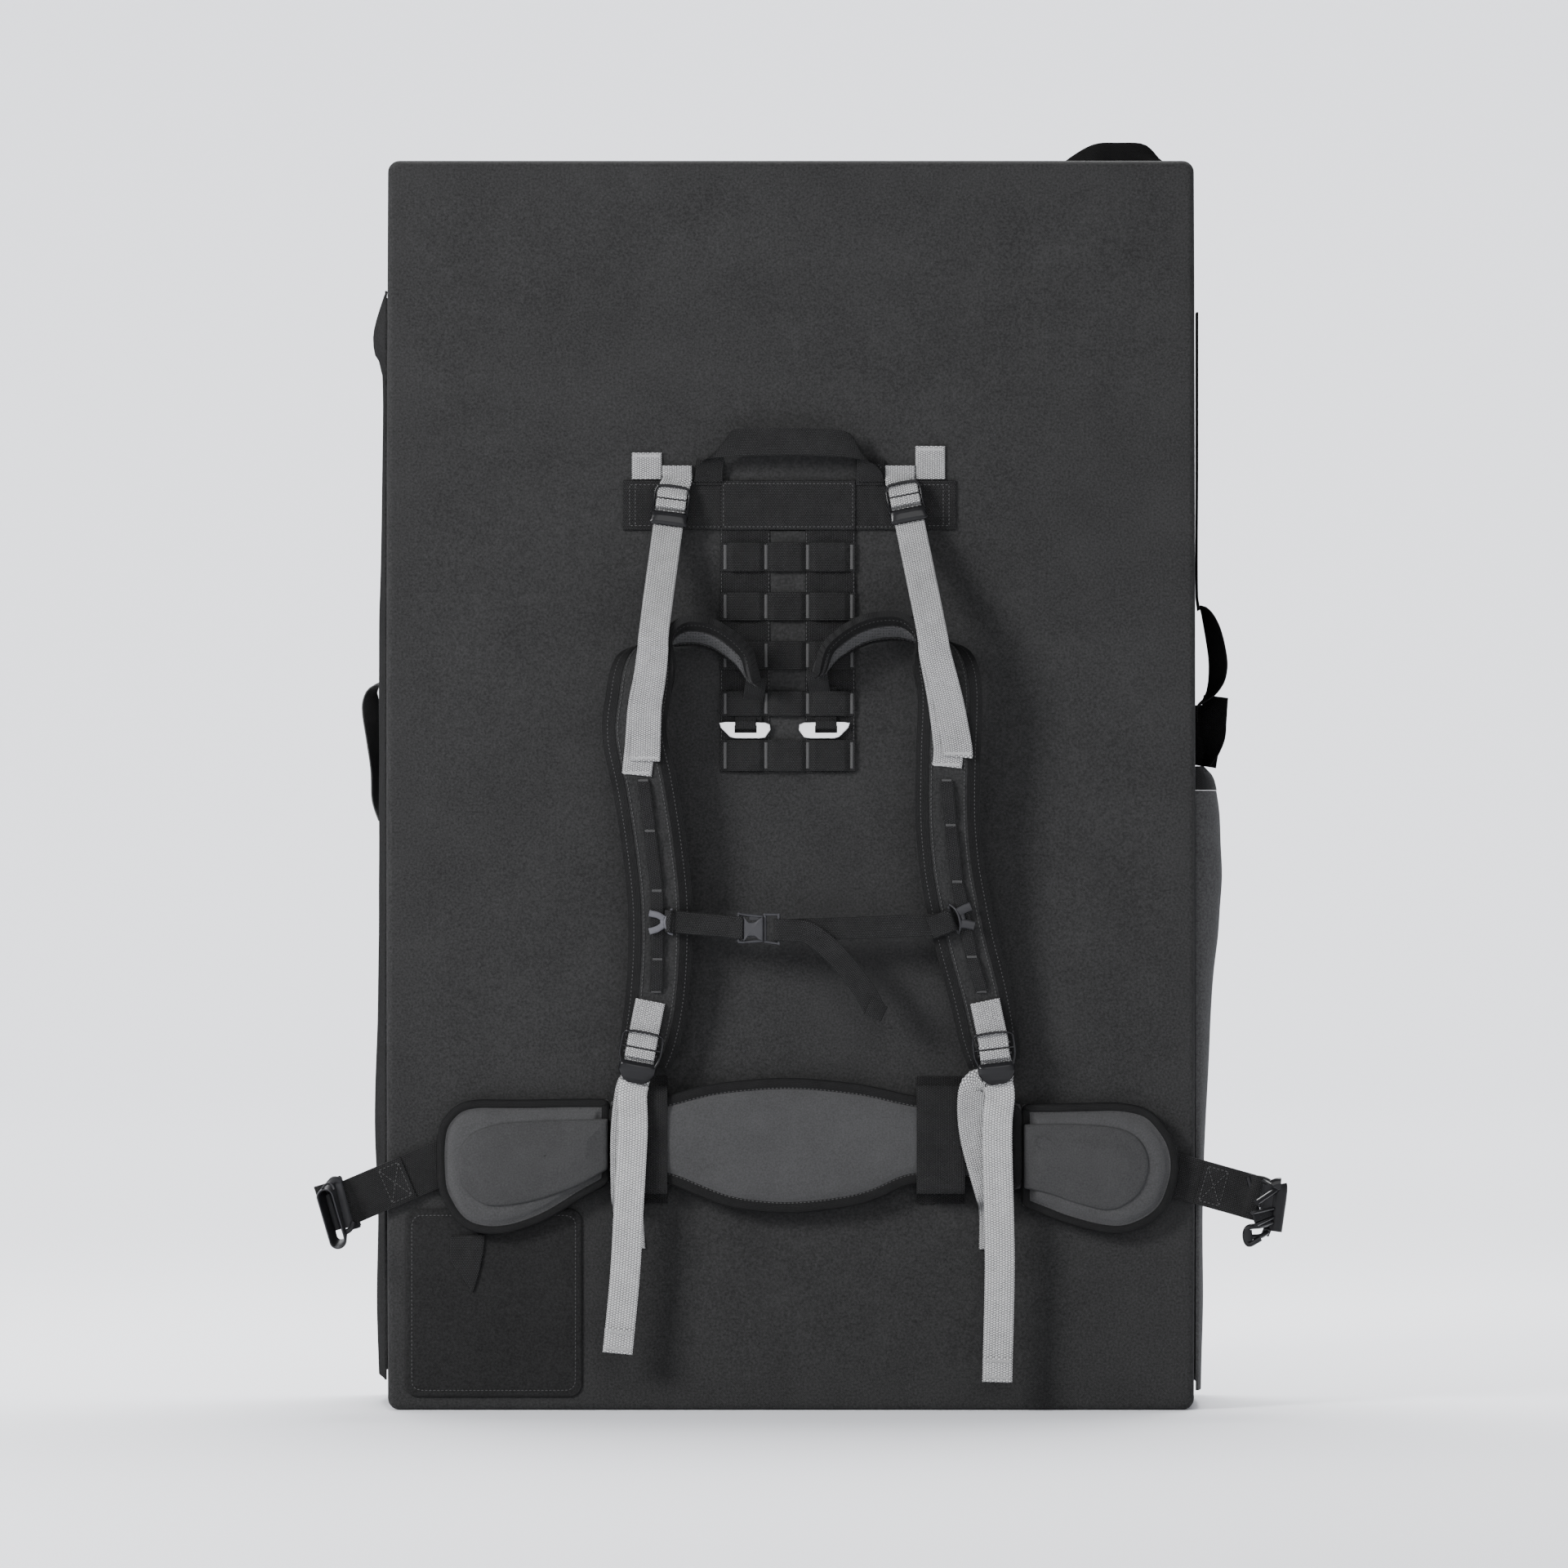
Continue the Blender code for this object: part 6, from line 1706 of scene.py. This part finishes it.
def rods(rows):
    """Rounded bars, each an oval section carried along its points."""
    grids = []
    for wide, deep, *points in rows:
        points = in_front(points)
        if len(points) == 2:
            points = np.array((points[0], points.mean(0), points[1]))
        line = curve(points, 0.0010)
        grids.append(swept(line, facing(line), oval(wide / 1000, deep / 1000, 12)))
    return grids


def stadium(a, b, radius, depth):
    """Ring at one radius round the line between two photo points, at one depth."""
    a, b = (at(*p, -depth / 1000) for p in (a, b))
    along = unit(b - a)
    t = np.linspace(0, 2 * math.pi, 41)[:-1, None]
    circle = along * np.cos(t) + np.cross(along, VIEWER) * np.sin(t)
    return np.where(np.cos(t) > 0, b, a) + circle * radius * UP


class MakeBuckles(bpy.types.Operator):
    """Makes the chest clips, the chest buckle and the hip buckle halves"""

    bl_idname = "crash_pad.buckles"
    bl_label = "Buckles"

    def execute(self, context):
        outline = even_outline(SOCKET_FACE, 120, (0, 5, 6, 11))
        faces = []
        for start, out in ((0.1042, -1), (0.1094, 1)):
            a, b = sorted((start, start + 0.0018 * out))
            profile = ((0.0006, -a), (0, -a - 0.0005), (0, -b + 0.0006), (0.0008, -b))
            points = cushion_rings(outline, profile, 0.0004 if out > 0 else 0.0)
            faces.append((points, False, points[..., ::2]))
        mouth = np.array([stadium((400.5, 1464), (416, 1517), r, d) for r, d in (
            (10.6, 98), (10.6, 103), (9.9, 105), (8.7, 105), (8.1, 103), (7.4, 98))])
        back = np.array([stadium((405, 1453), (419, 1511), r, d) for r, d in (
            (5.4, 82), (6.9, 81), (7.4, 84))])
        walls = np.concatenate((mouth, back))
        for name, kind, body, node, rows, extra in (
            ("chest_clip_left", "clip", "harness_half", "chest_slider_left", CLIP_LEFT, []),
            ("chest_clip_right", "plastic", "harness_half", "chest_slider_right", CLIP_RIGHT, []),
            ("chest_socket_shell", "satin", "harness_half", "chest_socket", CHEST_SOCKET, faces),
            ("chest_plug_frame", "satin", "harness_half", "chest_plug", CHEST_PLUG, []),
            ("hip_socket_shell", "plastic", "belt_socket", "hip_buckle_socket", HIP_SOCKET,
             [(walls, True, walls[..., ::2])]),
            ("hip_plug_prongs", "gloss", "belt_plug", "hip_buckle_plug", HIP_PLUG, []),
        ):
            piece = joined(name, rods(rows) + extra)
            finish(piece, kind, node, body=body, sharp=60)
        for name, points, spacing, width, body in (
            ("belt_webbing_end", ((409, 1457.5, 79.6), (399, 1460.8, 79.6), (388.7, 1464, 79.6)),
             0.002, 0.0165, "belt_socket"),
            ("chest_tail_fold", ((1077, 1226, 111), (1073.5, 1232, 112.6), (1068, 1245, 112.6)),
             0.0015, 0.0155, "harness_half"),
        ):
            line = curve(in_front(points), spacing)
            finish(webbing(name, line, facing(line), width), "webbing", body=body)
        return {"FINISHED"}


class MakePocket(bpy.types.Operator):
    """Makes the corner pocket and its pull"""

    bl_idname = "crash_pad.pocket"
    bl_label = "Corner pocket"

    def execute(self, context):
        back = FACE - GAP
        left, right = float(px(496)), float(px(713))
        flat = rectangle((right - left) / 2, float(pz(1711)), float(pz(1480)), 0.011, 0.0, 60, 60)
        flat[:, 0] += (right + left) / 2
        profile = [(inset, back - rise) for inset, rise in (
            (0.0006, 0), (0, 0.0008), (0.0006, 0.0018), (0.0030, 0.0022), (0.0056, 0.0019),
            (0.0085, 0.0022))]
        panel = cushion("pocket_panel", flat, profile, 0.0, 6, 0.0)
        # The panel takes the pocket finish: the pad fabric darkened as painted shade
        finish(panel, "pocket", "corner_pocket")
        line = standing(turned_in(flat, 0.0058), back - 0.0022)
        seams.line(np.vstack((line, line[:1])))
        pull = even_outline(((552, 1514), (594, 1511), (593, 1528), (590, 1544), (585, 1566),
                             (579, 1583), (566, 1564), (552, 1542)), 90, (0, 1, 5))
        start = back - 0.0022 - GAP
        profile = [(inset, start - rise) for inset, rise in (
            (0.0004, 0), (0, 0.0006), (0, 0.0018), (0.0006, 0.0024))]
        piece = cushion("pocket_pull_webbing", pull, profile)
        finish(piece, "webbing", "pocket_pull")
        return {"FINISHED"}


class DressHardware(bpy.types.Operator):
    """Gives the frame's own latch arms, hooks and foam sheets their finishes"""

    bl_idname = "crash_pad.hardware"
    bl_label = "Hardware finishes"

    def execute(self, context):
        kinds = {
            "plastic": ("chest_latch_upper", "chest_latch_lower"),
            "metal": ("hook_left", "hook_right"),
            "foam": ("front_foam_firm", "front_foam_soft", "rear_foam_firm", "rear_foam_soft"),
        }
        for kind, nodes in kinds.items():
            for node in nodes:
                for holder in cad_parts[node].material_slots:
                    holder.material = finishes[kind]
        return {"FINISHED"}


class FinishSeams(bpy.types.Operator):
    """Makes every row of stitches"""

    bl_idname = "crash_pad.seams"
    bl_label = "Stitches"

    def execute(self, context):
        seams.make()
        return {"FINISHED"}


class MakeStage(bpy.types.Operator):
    """Makes the backdrop, the lights and the camera"""

    bl_idname = "crash_pad.stage"
    bl_label = "Stage"

    def execute(self, context):
        s = settings()
        reach, bend, wall, top, below = 12.0, 2.0, 11.0, 8.0, 0.0002
        wide = np.array((-reach, reach))
        t = np.linspace(0, math.pi / 2, 24)
        y = np.concatenate(((-reach,), wall - bend + bend * np.sin(t), (wall,)))
        z = np.concatenate(((0.0,), bend - bend * np.cos(t), (top,))) - below
        points = np.stack(np.broadcast_arrays(wide[None, :], y[:, None], z[:, None]), -1)
        backdrop = grid_mesh("backdrop", points, ring=False)
        tree = Tree("backdrop_paper")
        backdrop.data.materials.append(tree.surface((*s.backdrop, 1), 0.95, 0.0))
        world = bpy.data.worlds.new("studio")
        bpy.context.scene.world = world
        world.use_nodes = True
        sky = world.node_tree.nodes["Background"].inputs
        sky[0].default_value, sky[1].default_value = (0.93, 0.95, 1.0, 1), 0.42
        for name, place, aim, size, power in (
            ("key", (-2.9, -2.9, 2.1), (0, 0, 0.60), 1.2, s.key_light * 0.80),
            ("wash", (0.4, -6.0, 2.6), (0, 0.5, 0.6), 4.0, s.key_light * 0.50),
            ("rear", (0.1, 1.1, 2.9), (0, -0.7, 0), 1.9, s.key_light * 0.46),
            ("wall", (0, 6.0, 7.0), (0, 9.5, 0.8), 10.0, s.key_light * 5.1),
        ):
            lamp = bpy.data.lights.new(name, "AREA")
            lamp.energy = power
            lamp.size = size
            holder = bpy.data.objects.new(name, lamp)
            bpy.context.scene.collection.objects.link(holder)
            holder.location = place
            direction = np.array(aim) - np.array(place)
            holder.rotation_euler = Vector(direction).to_track_quat("-Z", "Y").to_euler()
        camera = bpy.data.cameras.new("camera")
        camera.sensor_width = 36
        camera.lens = camera.sensor_width * CAMERA_DISTANCE / (PHOTO_SIDE * ACROSS)
        camera.clip_end = 60
        holder = bpy.data.objects.new("camera", camera)
        bpy.context.scene.collection.objects.link(holder)
        middle = PHOTO_SIDE / 2
        holder.location = (float(px(middle)), FACE - CAMERA_DISTANCE, float(pz(middle)))
        holder.rotation_euler = (math.pi / 2, 0, 0)
        bpy.context.scene.camera = holder
        return {"FINISHED"}


class CrashPadPanel(bpy.types.Panel):
    """Lists the steps that dress the pad"""

    bl_label = "Crash Pad"
    bl_idname = "VIEW3D_PT_crash_pad"
    bl_space_type = "VIEW_3D"
    bl_region_type = "UI"
    bl_category = "Crash Pad"

    def draw(self, context):
        for name in PadSettings.__annotations__:
            self.layout.prop(context.scene.crash_pad, name)
        for step in STEPS:
            self.layout.operator(step.bl_idname)


STEPS = (
    MakeFinishes, MakePad, MakeSides, MakeHandles, MakeYoke, MakeHooks, MakeShoulders,
    MakeLifters, MakeAdjusters, MakeBelt, MakeChest, MakeBuckles, MakePocket, DressHardware,
    FinishSeams, MakeStage,
)
CLASSES = (PadSettings, CrashPadPanel) + STEPS


def register():
    for item in CLASSES:
        bpy.utils.register_class(item)
    bpy.types.Scene.crash_pad = PointerProperty(type=PadSettings)


def unregister():
    del bpy.types.Scene.crash_pad
    for item in reversed(CLASSES):
        bpy.utils.unregister_class(item)


def main():
    """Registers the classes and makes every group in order."""
    register()
    for step in STEPS:
        group, name = step.bl_idname.split(".")
        getattr(getattr(bpy.ops, group), name)()


if __name__ == "__main__":
    main()
